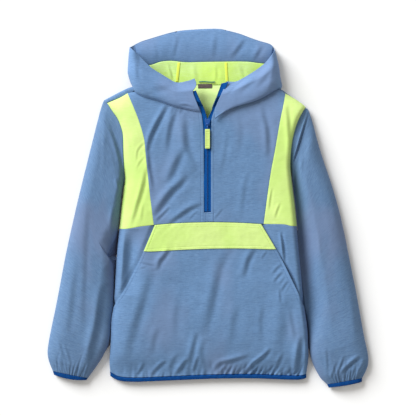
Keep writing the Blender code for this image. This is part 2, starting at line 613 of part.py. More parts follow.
# ---- hood ----------------------------------------------------------------------------------
def hood_side(fold, opening, zipped, neck, back_top, seam_x, crown, sign):
    front = patch(neck, opening, fold, zipped)
    low_back = [(seam_x, HOOD_NECK_Y), (fold[0][0] - 3 * sign, HOOD_NECK_Y)]
    back_fold = [(fold[0][0] - 3 * sign, HOOD_NECK_Y), fold[2]] + fold[3:]
    back = patch(low_back, up(back_top), [(seam_x, HOOD_NECK_Y), back_top[-1]], back_fold)

    def place(u, v):
        seat = walk(neck, 0)
        side = mix(front_height(*seat) + HOOD_OVER_CHEST - 1, HOOD_FOLD, ease(v / 0.3))
        if u < 0.5:
            x, y = back(u * 2, v)
            edge = back(1, v)
            near = hypot(edge[0] - x, edge[1] - y)
            return x, y, side - side * rise(near, HOOD_FOLD)
        s = (u - 0.5) * 2
        x, y = front(s, v)
        edge = front(0, v)
        near = hypot(edge[0] - x, edge[1] - y)
        low = front_height(*walk(neck, s)) + HOOD_OVER_CHEST
        top = mix(low, crown, rise(v, 0.32))
        top -= HOOD_SINK * ease((v - 0.72) / 0.28) * ease(near / 30)
        return x, y, side + (top - side) * rise(near, HOOD_RUN)
    return place


def build_hood():
    columns = [0, .12, .25, .36, .43, .47, .49, .5, .508, .53, .56, .60, .66, .72, .79, .86,
               .93, 1]
    rows = [0, .03, .08, .15, .23, .32, .44, .56, .68, .78, .87, .94, 1]
    inset = SEAM / 2
    left = hood_side(HOOD_LEFT_FOLD, HOOD_LEFT_OPEN, HOOD_LEFT_ZIP, NECK_LEFT,
                     HOOD_LEFT_BACK, HOOD_SEAMS[0] - inset, HOOD_CROWNS[0], 1)
    right = hood_side(HOOD_RIGHT_FOLD, HOOD_RIGHT_OPEN, HOOD_RIGHT_ZIP, NECK_RIGHT,
                      HOOD_RIGHT_BACK, HOOD_SEAMS[1] + inset, HOOD_CROWNS[1], -1)
    sheet("hood_side_left", left, columns, rows, BLUE)
    sheet("hood_side_right", right, columns, rows, BLUE, flip=True)

    a, b = HOOD_SEAMS[0] + inset, HOOD_SEAMS[1] - inset
    strip = patch([(a, HOOD_NECK_Y), (b, HOOD_NECK_Y)], HOOD_TOP,
                  [(a, HOOD_NECK_Y), (a, HOOD_TOP[0][1])], [(b, HOOD_NECK_Y), (b, HOOD_TOP[-1][1])])
    sheet("hood_centre", lambda u, v: (*strip(u, v), 0.0), [i / 5 for i in range(6)],
          [i / 6 for i in range(7)], BLUE, flip=True)

    facing_plan = patch(FACING_SEAM, FACING_TOP, [FACING_SEAM[0], FACING_TOP[0]],
                        [FACING_SEAM[-1], FACING_TOP[-1]])

    def facing(u, v):
        x, y = facing_plan(u, max(v, 0.004))
        puff = sin(pi * v) * rise(min(u, 1 - u), 0.12)
        return x, y, HOOD_LINING_Z + (4.5 + folds(FACING_DENTS, x, y)) * puff
    sheet("hood_facing", facing, [i / 18 for i in range(19)], [0, .15, .35, .6, .85, 1], BLUE)

    lining_plan = patch(LINING_LOW, FACING_SEAM, [LINING_LOW[0], FACING_SEAM[0]],
                        [LINING_LOW[-1], FACING_SEAM[-1]])

    def lining(u, v):
        x, y = lining_plan(u, min(v, 0.988))
        return x, y, HOOD_LINING_Z + 0.4 * v
    sheet("hood_lining", lining, [i / 10 for i in range(11)], [0, .33, .66, 1], LINING)
    for name, low_x, high_x in (("hood_tape_left", (-66, -60), (-62, -54)),
                                ("hood_tape_right", (35, 41), (33, 39))):
        def tape(u, v, low_x=low_x, high_x=high_x):
            y = mix(253, 291, v)
            return mix(mix(*low_x, u), mix(*high_x, u), v), y, HOOD_LINING_Z + 1.5
        sheet(name, tape, [0, 1], [0, .5, 1], TAPE, wall=TRIM)

    sheet("back_lining", lambda u, v: (mix(-62, 62, u), mix(130, 246, v), LINING_Z),
          [i / 6 for i in range(7)], [i / 5 for i in range(6)], LINING)
    block("neck_label", TAUPE, LABEL_AT, LABEL_SIZE, 0.2)

    def loop(u, v):
        x = mix(-18, 14, u)
        y = mix(251.5, 254.5, v)
        return x, y, 4.3 + 2.0 * sin(pi * u)
    sheet("hang_loop", loop, [i / 8 for i in range(9)], [0, 1], TEAL, wall=TRIM)


# ---- zip -----------------------------------------------------------------------------------
def build_zip():
    # X and Y of the outer and inner edge of each tape, then how far it lies above the
    # chest's outer side, from the collar down to the end
    left = [(-34, 232, -24, 234, 6), (-27, 214, -14, 211, 6), (-22.5, 204.5, -9.5, 203, -TAPE_SUNK),
            (-19, 196, -5, 192, -TAPE_SUNK), (-12, 172, ZIP_X - .15, 178, -TAPE_SUNK),
            (-11, 150, ZIP_X - .15, 150, -TAPE_SUNK), (-11, 60, ZIP_X - .15, 60, -TAPE_SUNK),
            (-11, -8, ZIP_X - .15, -8, -TAPE_SUNK)]
    right = [(41, 252, 29, 248, 2.2), (29, 226, 20, 222, 8), (19, 207, 10.5, 202, -TAPE_SUNK),
             (17, 200, 8, 196, -TAPE_SUNK), (9.5, 176, ZIP_X + .15, 178, -TAPE_SUNK),
             (9, 150, ZIP_X + .15, 150, -TAPE_SUNK), (9, 60, ZIP_X + .15, 60, -TAPE_SUNK),
             (9, -8, ZIP_X + .15, -8, -TAPE_SUNK)]
    for name, edges in (("zip_tape_left", left), ("zip_tape_right", right)):
        def tape(u, v, edges=edges):
            i = v * (len(edges) - 1)
            n = min(int(i), len(edges) - 2)
            row = [mix(p, q, i - n) for p, q in zip(edges[n], edges[n + 1])]
            x, y = mix(row[0], row[2], u), mix(row[1], row[3], u)
            return x, y, front_height(x, min(y, 203), True) + row[4]
        sheet(name, tape, [0, .5, 1], [i / 21 for i in range(22)], ZIP_BLUE, wall=TRIM,
              flip=name.endswith("left"))

    seat = front_height(ZIP_X, SLIDER_Y, True) - TAPE_SUNK + 2 * SEAM
    roof = seat + SLIDER_THICK
    pin_y, pin_z = SLIDER_Y - 4, roof + EYE_WALL + EYE_BORE + 0.4
    slider = block("zip_slider", ENAMEL, (ZIP_X, SLIDER_Y, seat + SLIDER_THICK / 2),
                   (SLIDER_WIDTH, SLIDER_LENGTH, SLIDER_THICK), 0.6)
    for side in (-1, 1):
        lug = block("lug", ENAMEL, (ZIP_X + side * (EYE_WIDTH / 2 + 1.1), pin_y,
                                    (roof + pin_z) / 2), (1.4, 3.2, pin_z - roof + 2.4), 0.3)
        unite(slider, lug)
    unite(slider, rod("pin", ENAMEL, LUG_PIN, EYE_WIDTH + 2.6, pin_y, pin_z))

    pivot = bpy.data.objects.new("pull_pivot", None)
    pivot.location = (ZIP_X * MM, pin_y * MM, pin_z * MM)
    garment.objects.link(pivot)
    bm = bmesh.new()
    eye_tube(bm, EYE_BORE, EYE_BORE + EYE_WALL, EYE_WIDTH)
    finish(bm, "pull_link", ENAMEL).parent = pivot
    grip = block("pull_grip", PULL, (0, -LINK_REACH - SEAM - PULL_LENGTH / 2, -0.2),
                 (PULL_WIDTH, PULL_LENGTH, PULL_THICK), 1.0)
    grip.parent = pivot


def rod(name, tone, radius, length, y, z):
    bm = bmesh.new()
    bmesh.ops.create_cone(bm, cap_ends=True, segments=16, radius1=radius, radius2=radius,
                          depth=length)
    for vertex in bm.verts:
        vertex.co = (vertex.co.z + ZIP_X, vertex.co.x + y, vertex.co.y + z)
    return finish(bm, name, tone)


def eye_tube(bm, bore, outer, width):
    """A short tube along X with a flat bar that runs on from it towards -Y."""
    count = 16
    rims = []
    for x in (-width / 2, width / 2):
        for radius in (bore, outer):
            rims.append([bm.verts.new((x, radius * cos(2 * pi * (i + 0.5) / count),
                                       radius * sin(2 * pi * (i + 0.5) / count)))
                         for i in range(count)])
    bar = None
    for i in range(count):
        j = (i + 1) % count
        for a, b in ((0, 1), (1, 3), (3, 2), (2, 0)):
            face = bm.faces.new((rims[a][i], rims[a][j], rims[b][j], rims[b][i]))
            if (a, b) == (1, 3) and i == count // 2 - 1:
                bar = face
    bmesh.ops.recalc_face_normals(bm, faces=bm.faces[:])
    tip = bmesh.ops.extrude_face_region(bm, geom=[bar])
    bmesh.ops.delete(bm, geom=[bar], context="FACES_ONLY")
    for vertex in tip["geom"]:
        if isinstance(vertex, bmesh.types.BMVert):
            vertex.co.y = -LINK_REACH
    bmesh.ops.recalc_face_normals(bm, faces=bm.faces[:])


def unite(piece, other):
    """Adds another closed piece to this one and removes it."""
    join = piece.modifiers.new("join", "BOOLEAN")
    join.operation = "UNION"
    join.object = other
    whole = bpy.data.meshes.new_from_object(
        piece.evaluated_get(bpy.context.evaluated_depsgraph_get()))
    piece.modifiers.clear()
    piece.data = whole
    bpy.data.objects.remove(other)


for old in list(bpy.data.objects):
    bpy.data.objects.remove(old)
garment = bpy.data.collections.new("anorak_pullover")
bpy.context.scene.collection.children.link(garment)

build_front()
build_back()
build_sleeves()
build_hem()
build_hood()
build_zip()
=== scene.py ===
import math
import bpy
import numpy as np
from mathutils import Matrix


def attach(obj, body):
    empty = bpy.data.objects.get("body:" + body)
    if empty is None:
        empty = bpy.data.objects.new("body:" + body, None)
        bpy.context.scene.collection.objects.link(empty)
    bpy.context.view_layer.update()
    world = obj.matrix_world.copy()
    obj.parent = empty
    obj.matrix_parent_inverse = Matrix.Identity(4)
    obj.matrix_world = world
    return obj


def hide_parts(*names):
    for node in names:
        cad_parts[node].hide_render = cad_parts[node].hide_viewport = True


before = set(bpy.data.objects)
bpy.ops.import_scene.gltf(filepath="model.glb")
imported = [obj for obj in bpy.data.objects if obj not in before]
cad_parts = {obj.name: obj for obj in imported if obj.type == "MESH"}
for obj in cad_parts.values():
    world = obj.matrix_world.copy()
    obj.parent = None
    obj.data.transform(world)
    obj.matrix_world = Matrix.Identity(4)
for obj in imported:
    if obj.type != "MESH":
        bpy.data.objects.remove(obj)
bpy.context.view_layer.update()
mm = 0.001
print("stage: frame loaded", len(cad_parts), "nodes")

# lines and small sums


def arcs(line):
    return np.concatenate([[0], np.cumsum(np.hypot(*np.diff(line[:, :2], axis=0).T))])


def soften(points, rounds=2):
    # rounds the corners of a line and keeps its ends
    line = np.array(points, float)
    for _ in range(rounds):
        a, b = line[:-1], line[1:]
        both = np.empty((2 * len(a), line.shape[1]))
        both[0::2], both[1::2] = 0.75 * a + 0.25 * b, 0.25 * a + 0.75 * b
        line = np.vstack([line[:1], both[1:-1], line[-1:]])
    return line


def cut(line, start, end, count=90):
    # the stretch of a line between the places nearest to two points
    run = arcs(line)
    fine = np.linspace(0, run[-1], 3000)
    xs, ys = np.interp(fine, run, line[:, 0]), np.interp(fine, run, line[:, 1])
    a, b = (fine[np.argmin(np.hypot(xs - p[0], ys - p[1]))] for p in (start, end))
    s = np.linspace(a, b, count)
    return np.stack([np.interp(s, run, line[:, i]) for i in range(line.shape[1])], 1)


def walk(line, share):
    line = np.asarray(line, float)
    run = arcs(line)
    s = np.clip(share, 0, 1) * run[-1]
    return [np.interp(s, run, line[:, i]) for i in range(line.shape[1])]


def readTable(table, key, column=1):
    rows = np.array(table, float)
    if rows[0, 0] > rows[-1, 0]:
        rows = rows[::-1]
    return np.interp(key, rows[:, 0], rows[:, column])


def join(*lines):
    return np.vstack([np.asarray(line, float)[:, :2] for line in lines])


def mix(a, b, f):
    return a + (b - a) * f


def ease(f):
    f = np.clip(f, 0, 1)
    return f * f * (3 - 2 * f)


def rise(distance, run):
    q = np.clip(distance / run, 0, 1)
    return np.sqrt(1 - (1 - q) ** 2)


def patch(bottom, top, left, right):
    # a plan surface between four lines; bottom and top run left to right, the sides up
    corners = [[float(c) for c in walk(line, end)[:2]] for line in (bottom, top)
               for end in (0, 1)]

    def plan(u, v):
        b, t, l, r = walk(bottom, u), walk(top, u), walk(left, v), walk(right, v)
        return [(1 - v) * b[i] + v * t[i] + (1 - u) * l[i] + u * r[i]
                - (1 - u) * (1 - v) * corners[0][i] - u * (1 - v) * corners[1][i]
                - (1 - u) * v * corners[2][i] - u * v * corners[3][i] for i in (0, 1)]
    return plan


def softNoise(x, y, cell, seed):
    # smooth hills and dips from -1 to 1, one to a cell
    lattice = np.random.default_rng(seed).uniform(-1, 1, (64, 64))
    i, j = x / cell + 1000.37, y / cell + 1000.71
    i0, j0 = np.floor(i).astype(int), np.floor(j).astype(int)
    f, g = ease(i - i0), ease(j - j0)
    pick = lambda a, b: lattice[a % 64, b % 64]
    return mix(mix(pick(i0, j0), pick(i0 + 1, j0), f),
               mix(pick(i0, j0 + 1), pick(i0 + 1, j0 + 1), f), g)


def folds(table, x, y, depth=1.9, narrow=0.8):
    # a fold falls away across its line, with its crest to the right of the way it runs and its
    # hollow to the left; a row is how steeply it falls, the crest's and hollow's widths, points
    total = np.zeros(np.shape(x))
    for steep, crest, hollow, points in table:
        crest, hollow, line = crest * narrow, hollow * narrow, soften(points)
        reach = 2.6 * max(crest, hollow)
        low, high = line.min(0) - reach, line.max(0) + reach
        near = (x > low[0]) & (x < high[0]) & (y > low[1]) & (y < high[1])
        if not near.any():
            continue
        px, py = x[near], y[near]
        best, share, side = np.full(px.shape, 1e9), np.zeros(px.shape), np.zeros(px.shape)
        run = arcs(line)
        for i, (a, b) in enumerate(zip(line, line[1:])):
            dx, dy = b - a
            f = np.clip(((px - a[0]) * dx + (py - a[1]) * dy) / (dx * dx + dy * dy), 0, 1)
            ox, oy = px - a[0] - f * dx, py - a[1] - f * dy
            off = np.hypot(ox, oy)
            closer = off < best
            best = np.where(closer, off, best)
            share = np.where(closer, (run[i] + f * (run[i + 1] - run[i])) / run[-1], share)
            side = np.where(closer, dx * oy - dy * ox, side)
        away = np.where(side > 0, best, -best)
        width = np.where(side > 0, hollow, crest)
        total[near] -= (depth * steep * away * np.exp(-(best / width) ** 2)
                        * np.sin(math.pi * share) ** 0.7)
    return total


def stations(length, near, far, step):
    # places across a panel: mm from each edge, and evenly spread between
    near, far = np.array(near, float), np.array(far, float)
    count = max(1, round((length - near[-1] - far[-1]) / step))
    t = np.arange(1, count) / count
    offset = np.concatenate([near, near[-1] - t * (near[-1] + far[-1]), -far[::-1]])
    share = np.concatenate([0 * near, t, 0 * far + 1])
    return offset, share


foldedEdge = (0, .25, .8, 1.8, 3.4, 5.6, 8.5, 12)
sewnEdge = (0, .5, 1.2, 2.2, 3.6, 5.4)
stitchedEdge = (0, .4, 1, 2, 3, 4, 4.8, 5.4, 6, 6.6, 7.4, 9)

# making the meshes


def gridPiece(name, points, uv, keep=None, ring=False, flip=False):
    # points and uv are arrays of rows by columns; keep says which faces stay
    rows, columns = points[0].shape
    uv = np.broadcast_arrays(*uv, points[0])[:2]
    co = np.stack([np.ravel(c) for c in points], 1) * mm
    index = np.arange(rows * columns).reshape(rows, columns)
    if ring:
        index = np.hstack([index[:, :-1], index[:, :1]])
    a, b = index[:-1, :-1], index[:-1, 1:]
    c, d = index[1:, 1:], index[1:, :-1]
    quads = np.stack([a, b, c, d], -1)
    corner = np.arange(rows * columns).reshape(rows, columns)
    uvQuads = np.stack([corner[:-1, :-1], corner[:-1, 1:], corner[1:, 1:], corner[1:, :-1]], -1)
    if keep is not None:
        quads, uvQuads = quads[keep], uvQuads[keep]
    quads, uvQuads = quads.reshape(-1, 4), uvQuads.reshape(-1, 4)
    if flip:
        quads, uvQuads = quads[:, ::-1], uvQuads[:, ::-1]
    used, quads = np.unique(quads, return_inverse=True)
    mesh = bpy.data.meshes.new(name)
    mesh.from_pydata(co[used].tolist(), [], quads.reshape(-1, 4).tolist())
    layer = mesh.uv_layers.new(name="cloth")
    flat = np.stack([np.ravel(uv[0]), np.ravel(uv[1])], 1)[uvQuads.ravel()] * mm
    layer.data.foreach_set("uv", flat.astype(np.float32).ravel())
    mesh.update()
    mesh.shade_smooth()
    piece = bpy.data.objects.new(name, mesh)
    bpy.context.scene.collection.objects.link(piece)
    return piece


def shell(piece, wall):
    thick = piece.modifiers.new("wall", "SOLIDIFY")
    thick.thickness = wall * mm
    thick.offset = -1
    thick.use_rim = True
    return piece


def dress(piece, material, slot, body, *nodes):
    piece.data.materials.clear()
    piece.data.materials.append(material)
    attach(piece, body)
    if nodes:
        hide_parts(*nodes)
    return piece


def spreadOut(plan, columns, rows):
    # shares across and along, so that the stations by an edge keep their distance from it
    (co, cf), (ro, rf) = columns, rows
    wide = lambda v: np.hypot(*(np.subtract(*p) for p in zip(plan(1.0, v), plan(0.0, v))))
    high = lambda u: np.hypot(*(np.subtract(*p) for p in zip(plan(u, 1.0), plan(u, 0.0))))
    w0, h0 = wide(np.array(0.5)), high(np.array(0.5))
    un, vn = co / w0 + cf, ro / h0 + rf
    w, h = wide(vn)[:, None], high(un)[None, :]
    return np.clip(co / w + cf, 0, 1), np.clip(ro[:, None] / h + rf[:, None], 0, 1), w, h


# the outline
outline = {
    "bodyLeft": [(-166, 56), (-170, 36), (-178, -42), (-180, -64), (-184, -108), (-186, -144),
                 (-188, -184), (-190, -202), (-194, -220), (-195, -254), (-196, -280),
                 (-198, -308), (-196, -328)],
    "bodyRight": [(165, 84), (166, 72), (170, 36), (174, 6), (178, -36), (180, -64),
                  (184, -104), (188, -144), (190, -174), (194, -204), (200, -244), (201, -274),
                  (202, -296), (200, -312), (197, -332)],
    "armLeft": [(-208, 217), (-202, 210), (-192, 194), (-180, 178), (-174, 162), (-170, 148),
                (-169.4, 116), (-168, 86), (-166, 56)],
    "armRight": [(199, 198), (196, 202), (188, 190), (178, 170), (170, 142), (166, 116),
                 (165, 84)],
    "insertLeftTop": [(-202, 210), (-176, 221), (-161, 230)],
    "insertLeftSeam": [(-161, 230), (-140, 182), (-127, 140), (-125, 116), (-121, 76),
                       (-117, 36), (-108, -34)],
    "insertRightTop": [(155, 230), (176, 218), (190, 208), (196, 202)],
    "insertRightSeam": [(155, 230), (150, 202), (144, 176), (134, 116), (124, 66), (111, -32)],
    "waist": [(-178, -42), (-160, -42), (-136, -37), (-108, -34), (-76, -31), (-36, -29),
              (-8, -28.5), (6, -28), (64, -29), (111, -32), (154, -32), (164, -36), (178, -36)],
    "hem": [(-196, -328), (-180, -338), (-146, -340), (-106, -338), (-16, -334), (14, -333),
            (84, -332), (134, -334), (184, -336), (197, -332)],
    "pocketLeft": [(-106, -34), (-128, -86), (-140, -112), (-154, -138), (-164, -158),
                   (-176, -178), (-188.6, -192)],
    "pocketRight": [(106, -32), (136, -82), (150, -108), (164, -138), (178, -166), (186, -184),
                    (192.6, -197)],
    "neckLeft": [(-145, 231), (-142, 228), (-126, 222), (-106, 217), (-86, 210), (-66, 203),
                 (-46, 199), (-26, 195), (-16, 194)],
    "neckRight": [(146, 238), (142, 241), (130, 236), (114, 225), (94, 216), (74, 210),
                  (54, 204), (36, 196), (14, 180)],
    "shoulder": [(-202, 210), (-176, 221), (-161, 230), (-140, 242), (-100, 250), (100, 250),
                 (138, 244), (155, 230), (176, 218), (190, 208), (196, 202)],
}
sideLeft = soften(outline["armLeft"][1:-1] + outline["bodyLeft"])
sideRight = soften(outline["armRight"][1:-1] + outline["bodyRight"])
waistLine, hemLine = soften(outline["waist"]), soften(outline["hem"])
seamLeft, seamRight = soften(outline["insertLeftSeam"]), soften(outline["insertRightSeam"])
pocketLeft = join(soften(outline["pocketLeft"])[:-1], cut(sideLeft, (-190, -200), (-196, -328)))
pocketRight = join(soften(outline["pocketRight"])[:-1], cut(sideRight, (193.6, -203), (197, -332)))
neckLeft, neckRight = soften(outline["neckLeft"]), soften(outline["neckRight"])

front = {
    "edgeRun": (34, 10),
    # Y, height of the left edge, of the right edge and of the crown
    "rows": [(250, 12, 8, 24), (210, 12, 8, 28), (203, 13, 8, 29), (194, 15, 13, 30),
             (178, 18, 18, 32), (148, 22, 21, 34), (116, 22, 20, 34), (96, 20, 13, 34),
             (86, 18, 9, 34), (80, 16, 8, 34), (66, 11, 8, 34), (56, 8, 8, 34), (0, 8, 8, 34),
             (-150, 8, 8, 33), (-200, 8, 8, 32), (-250, 8, 8, 29), (-295, 7, 7, 23),
             (-318, 6, 6, 15),
             (-330, 6, 6, 12), (-350, 6, 6, 12)],
    "bigFolds": [
        (.70, 8, 7, [(-80, 208), (-92, 186), (-100, 172), (-108, 156), (-115, 140), (-121, 112)]),
        (.40, 8, 8, [(-120, 122), (-118, 86), (-112, 56), (-108, 36)]),
        (.32, 10, 9, [(-60, 204), (-70, 180), (-77, 156), (-82, 112)]),
        (.34, 14, 12, [(-47, 190), (-46, 156), (-44, 126), (-36, 106), (-20, 76)]),
        (.30, 15, 11, [(-46, 122), (-60, 96), (-70, 72), (-82, 46)]),
        (.48, 13, 9, [(-42, 66), (-54, 48), (-70, 36), (-90, 10), (-106, -16)]),
        (.42, 10, 6, [(-10, 8), (-36, -2), (-50, -12), (-66, -23), (-80, -34)]),
        (.34, 9, 9, [(106, 204), (118, 160), (120, 128), (119, 100)]),
        (.36, 8, 8, [(157, 210), (160, 176), (163, 140), (168, 92)]),
        (.50, 8, 7, [(-123, 84), (-127, 56), (-132, 34), (-139, 12), (-146, -12), (-155, -40)]),
        (.75, 7, 24, [(-164, -40), (-168, -84), (-169, -120), (-175, -172)]),
        (.20, 18, 13, [(46, -80), (28, -108), (20, -134), (14, -164), (8, -194), (-8, -256)]),
        (.30, 11, 8, [(96, -80), (84, -96), (78, -110), (72, -140)]),
        (.19, 18, 15, [(-112, -118), (-128, -180), (-144, -228), (-157, -280), (-162, -306)]),
        (.42, 9, 7, [(-76, -80), (-86, -96), (-96, -106), (-99, -124)]),
        (.45, 8, 6, [(84, -294), (68, -300), (48, -306), (20, -312), (12, -330)]),
        (.70, 6, 6, [(126, -280), (112, -296), (98, -306), (88, -314), (78, -332)]),
        (.60, 10, 9, [(186, -256), (181, -288), (177, -334)]),
        (.14, 24, 20, [(158, -170), (152, -220), (142, -294)]),
    ],
    "smallFolds": [
        (.45, 5, 5, [(-76, 2), (-90, -12), (-104, -26)]),
        (1.3, 4, 4, [(145, -48), (148, -68), (150, -88), (154, -110)]),
        (.35, 4, 4, [(-68, 206), (-71, 196), (-75, 186)]),
        (.35, 4, 4, [(-52, 202), (-55, 192), (-58, 182)]),
        (.50, 4, 4, [(-28, 174), (-42, 186), (-52, 196)]),
        (.22, 6, 6, [(-176, 182), (-166, 156), (-158, 132), (-154, 112)]),
        (.35, 4, 4, [(-124, 132), (-136, 122), (-142, 112), (-142, 94)]),
        (.30, 4, 4, [(-124, 104), (-136, 92), (-143, 78)]),
        (.25, 5, 5, [(-129, 10), (-131, -6), (-133, -28)]),
        (.40, 4, 4, [(144, 10), (137, -6), (134, -20)]),
        (.30, 4, 4, [(128, 40), (124, 20), (122, -4)]),
        (.12, 8, 8, [(40, 160), (34, 110), (26, 70)]),
        (.12, 9, 9, [(78, 70), (70, 20), (66, -16)]),
        (.10, 10, 10, [(60, 190), (66, 150), (60, 110)]),
        (.30, 3, 3, [(-20, -6), (-30, -14), (-38, -24)]),
        (.25, 3, 4, [(30, 0), (22, -10), (12, -22)]),
    ],
    "pocketFolds": [
        (.30, 4, 4, [(-104, -115), (-120, -112), (-136, -107)]),
        (.25, 3, 3, [(-122, -117), (-130, -119), (-138, -121)]),
        (.25, 4, 4, [(118, -86), (112, -93), (106, -102)]),
        (.28, 5, 5, [(148, -112), (138, -119), (128, -132)]),
        (.34, 4, 5, [(150, -127), (141, -134), (130, -148)]),
        (.18, 4, 4, [(154, -137), (147, -145), (142, -154)]),
        (.30, 4, 5, [(161, -145), (152, -154), (146, -168)]),
        (.14, 4, 4, [(166, -151), (160, -158), (154, -170)]),
        (.95, 7, 7, [(152, -100), (166, -130), (181, -158), (191, -182)]),
        (.30, 5, 5, [(142, -160), (143, -172), (145, -190)]),
        (.22, 8, 8, [(163, -198), (168, -230), (175, -268)]),
        (.45, 5, 5, [(-20, -296), (-25, -314), (-32, -334)]),
        (.50, 7, 7, [(-40, -300), (-50, -314), (-66, -336)]),
        (.45, 6, 6, [(-84, -306), (-98, -316), (-112, -334)]),
        (.30, 9, 8, [(-22, -246), (-32, -288), (-40, -322)]),
        (.40, 5, 5, [(-128, -310), (-134, -322), (-142, -336)]),
        (.35, 6, 6, [(150, -290), (142, -306), (134, -326)]),
        (.40, 5, 5, [(40, -310), (32, -320), (22, -334)]),
        (.12, 10, 10, [(-100, -236), (-108, -262), (-112, -296)]),
        (.14, 10, 10, [(-6, -258), (-16, -288), (-8, -310), (-3, -330)]),
        (.16, 8, 8, [(-60, -290), (-72, -310), (-80, -332)]),
        (.12, 14, 14, [(60, -190), (50, -230), (46, -270)]),
        (.10, 12, 12, [(-60, -170), (-66, -220), (-64, -260)]),
        (.12, 9, 9, [(110, -190), (104, -230), (108, -262)]),
    ],
    "seed": 3,
}


def bodyEdges(y):
    return (np.interp(y, sideLeft[::-1, 1], sideLeft[::-1, 0]),
            np.interp(y, sideRight[::-1, 1], sideRight[::-1, 0]))


frontRows = soften(front["rows"])
hemGathers = {"seed": 11, "even": 40, "leaning": 34}


def gathers(x, y):
    # uneven pleats drawn up by the stretch hem; they crowd and lean on the right
    rng = np.random.default_rng(hemGathers["seed"])
    near = y - readTable(hemLine, x)
    total = 0.5 * np.exp(-(near / 16) ** 2) * np.sin(x * 0.375 + 1.3 * np.sin(x * 0.031))
    pleats = [(-188 + 376 * (i + rng.uniform(0.15, 0.85)) / hemGathers["even"],
               rng.uniform(0.6, 2.4), rng.uniform(2.0, 4.2), rng.uniform(6, 22),
               rng.uniform(-0.3, 0.4)) for i in range(hemGathers["even"])]
    pleats += [(28 + 158 * (i + rng.uniform(0.1, 0.9)) / hemGathers["leaning"],
                rng.uniform(1.8, 5.2), rng.uniform(1.5, 2.8), rng.uniform(7, 17),
                rng.uniform(0.35, 1.0)) for i in range(hemGathers["leaning"])]
    for at, depth, width, length, lean in pleats:
        total += (-depth * np.exp(-((x - at - lean * near) / width) ** 2)
                  * np.exp(-(np.clip(near, 0, None) / length) ** 2))
    return total


def frontHeight(x, y, plain=False, fine=(), share=1.0):
    x, y = np.asarray(x, float), np.asarray(y, float)
    left, right = bodyEdges(y)
    edge = mix(readTable(frontRows, y, 1), readTable(frontRows, y, 2),
               (x - left) / (right - left))
    runs = front["edgeRun"]
    shape = (rise(x - left, runs[0]) * rise(right - x, runs[1])
             * rise(readTable(outline["shoulder"], x) - y, runs[0]))
    lift = readTable(frontRows, y, 3) - edge
    if not plain:
        lift = lift + folds(front["bigFolds"], x, y) * share + gathers(x, y)
        for table in fine:
            lift = lift + folds(table, x, y) * share
        lift = lift + 0.9 * softNoise(x, y, 42, front["seed"]) + 0.35 * softNoise(x, y, 17, 5)
        lift = lift + 0.12 * softNoise(x, y, 7, 6)
    return edge + lift * shape


def frontNormal(x, y, plain=False):
    step = 0.5
    left, right = bodyEdges(y)
    x = np.clip(x, left + step, right - step)
    y = np.minimum(y, readTable(outline["shoulder"], x) - step)
    dx = (frontHeight(x + step, y, plain) - frontHeight(x - step, y, plain)) / (2 * step)
    dy = (frontHeight(x, y + step, plain) - frontHeight(x, y - step, plain)) / (2 * step)
    size = np.sqrt(dx * dx + dy * dy + 1)
    return -dx / size, -dy / size, 1 / size


def seamDip(distance, depth=0.3, width=1.0):
    return -depth * np.exp(-(distance / width) ** 2)


def stitchDip(distance, at=5.7, depth=0.35):
    return -depth * np.exp(-((distance - at) / 0.7) ** 2)


stitchRuns = {"blue": [], "neon": [], "zip": []}


def stitchAlong(kind, xyz, lift=0.25):
    # keeps a line of sewing, in mm, to be made of stitches later
    line = np.stack([np.ravel(c) for c in xyz], 1)
    stitchRuns[kind].append(line + [0, 0, lift])


# the front
def panelOnFront(plan, columns, rows, edges, fine=(), plain=False, sunk=None, seams=None,
                 share=None):
    # edges: insets in mm at left, right, bottom and top; seams: which of them are sewn flat;
    # share: how much of the folds this panel takes, away from its seams
    u, v, wide, high = spreadOut(plan, columns, rows)
    u = (edges[0] + u * (wide - edges[0] - edges[1])) / wide
    v = (edges[2] + v * (high - edges[2] - edges[3])) / high
    x, y = plan(u, v)
    distance = {"left": u * wide, "right": (1 - u) * wide, "bottom": v * high,
                "top": (1 - v) * high}
    if share is not None:
        share = mix(1.0, share[1], ease(distance[share[0]] / 14))
    z = frontHeight(x, y, plain, fine, 1.0 if share is None else share)
    for side, kind in (seams or {}).items():
        pucker = 1 + 0.5 * softNoise(x, y, 7, 21)
        z = z + seamDip(distance[side]) * pucker
        if kind == "stitched":
            z = z + stitchDip(distance[side]) * pucker
    if sunk is not None:
        depth = sunk(x, y)
        nx, ny, nz = frontNormal(x, y, plain)
        x, y, z = x - nx * depth, y - ny * depth, z - nz * depth
    return [x, y, z], u, v, wide, high


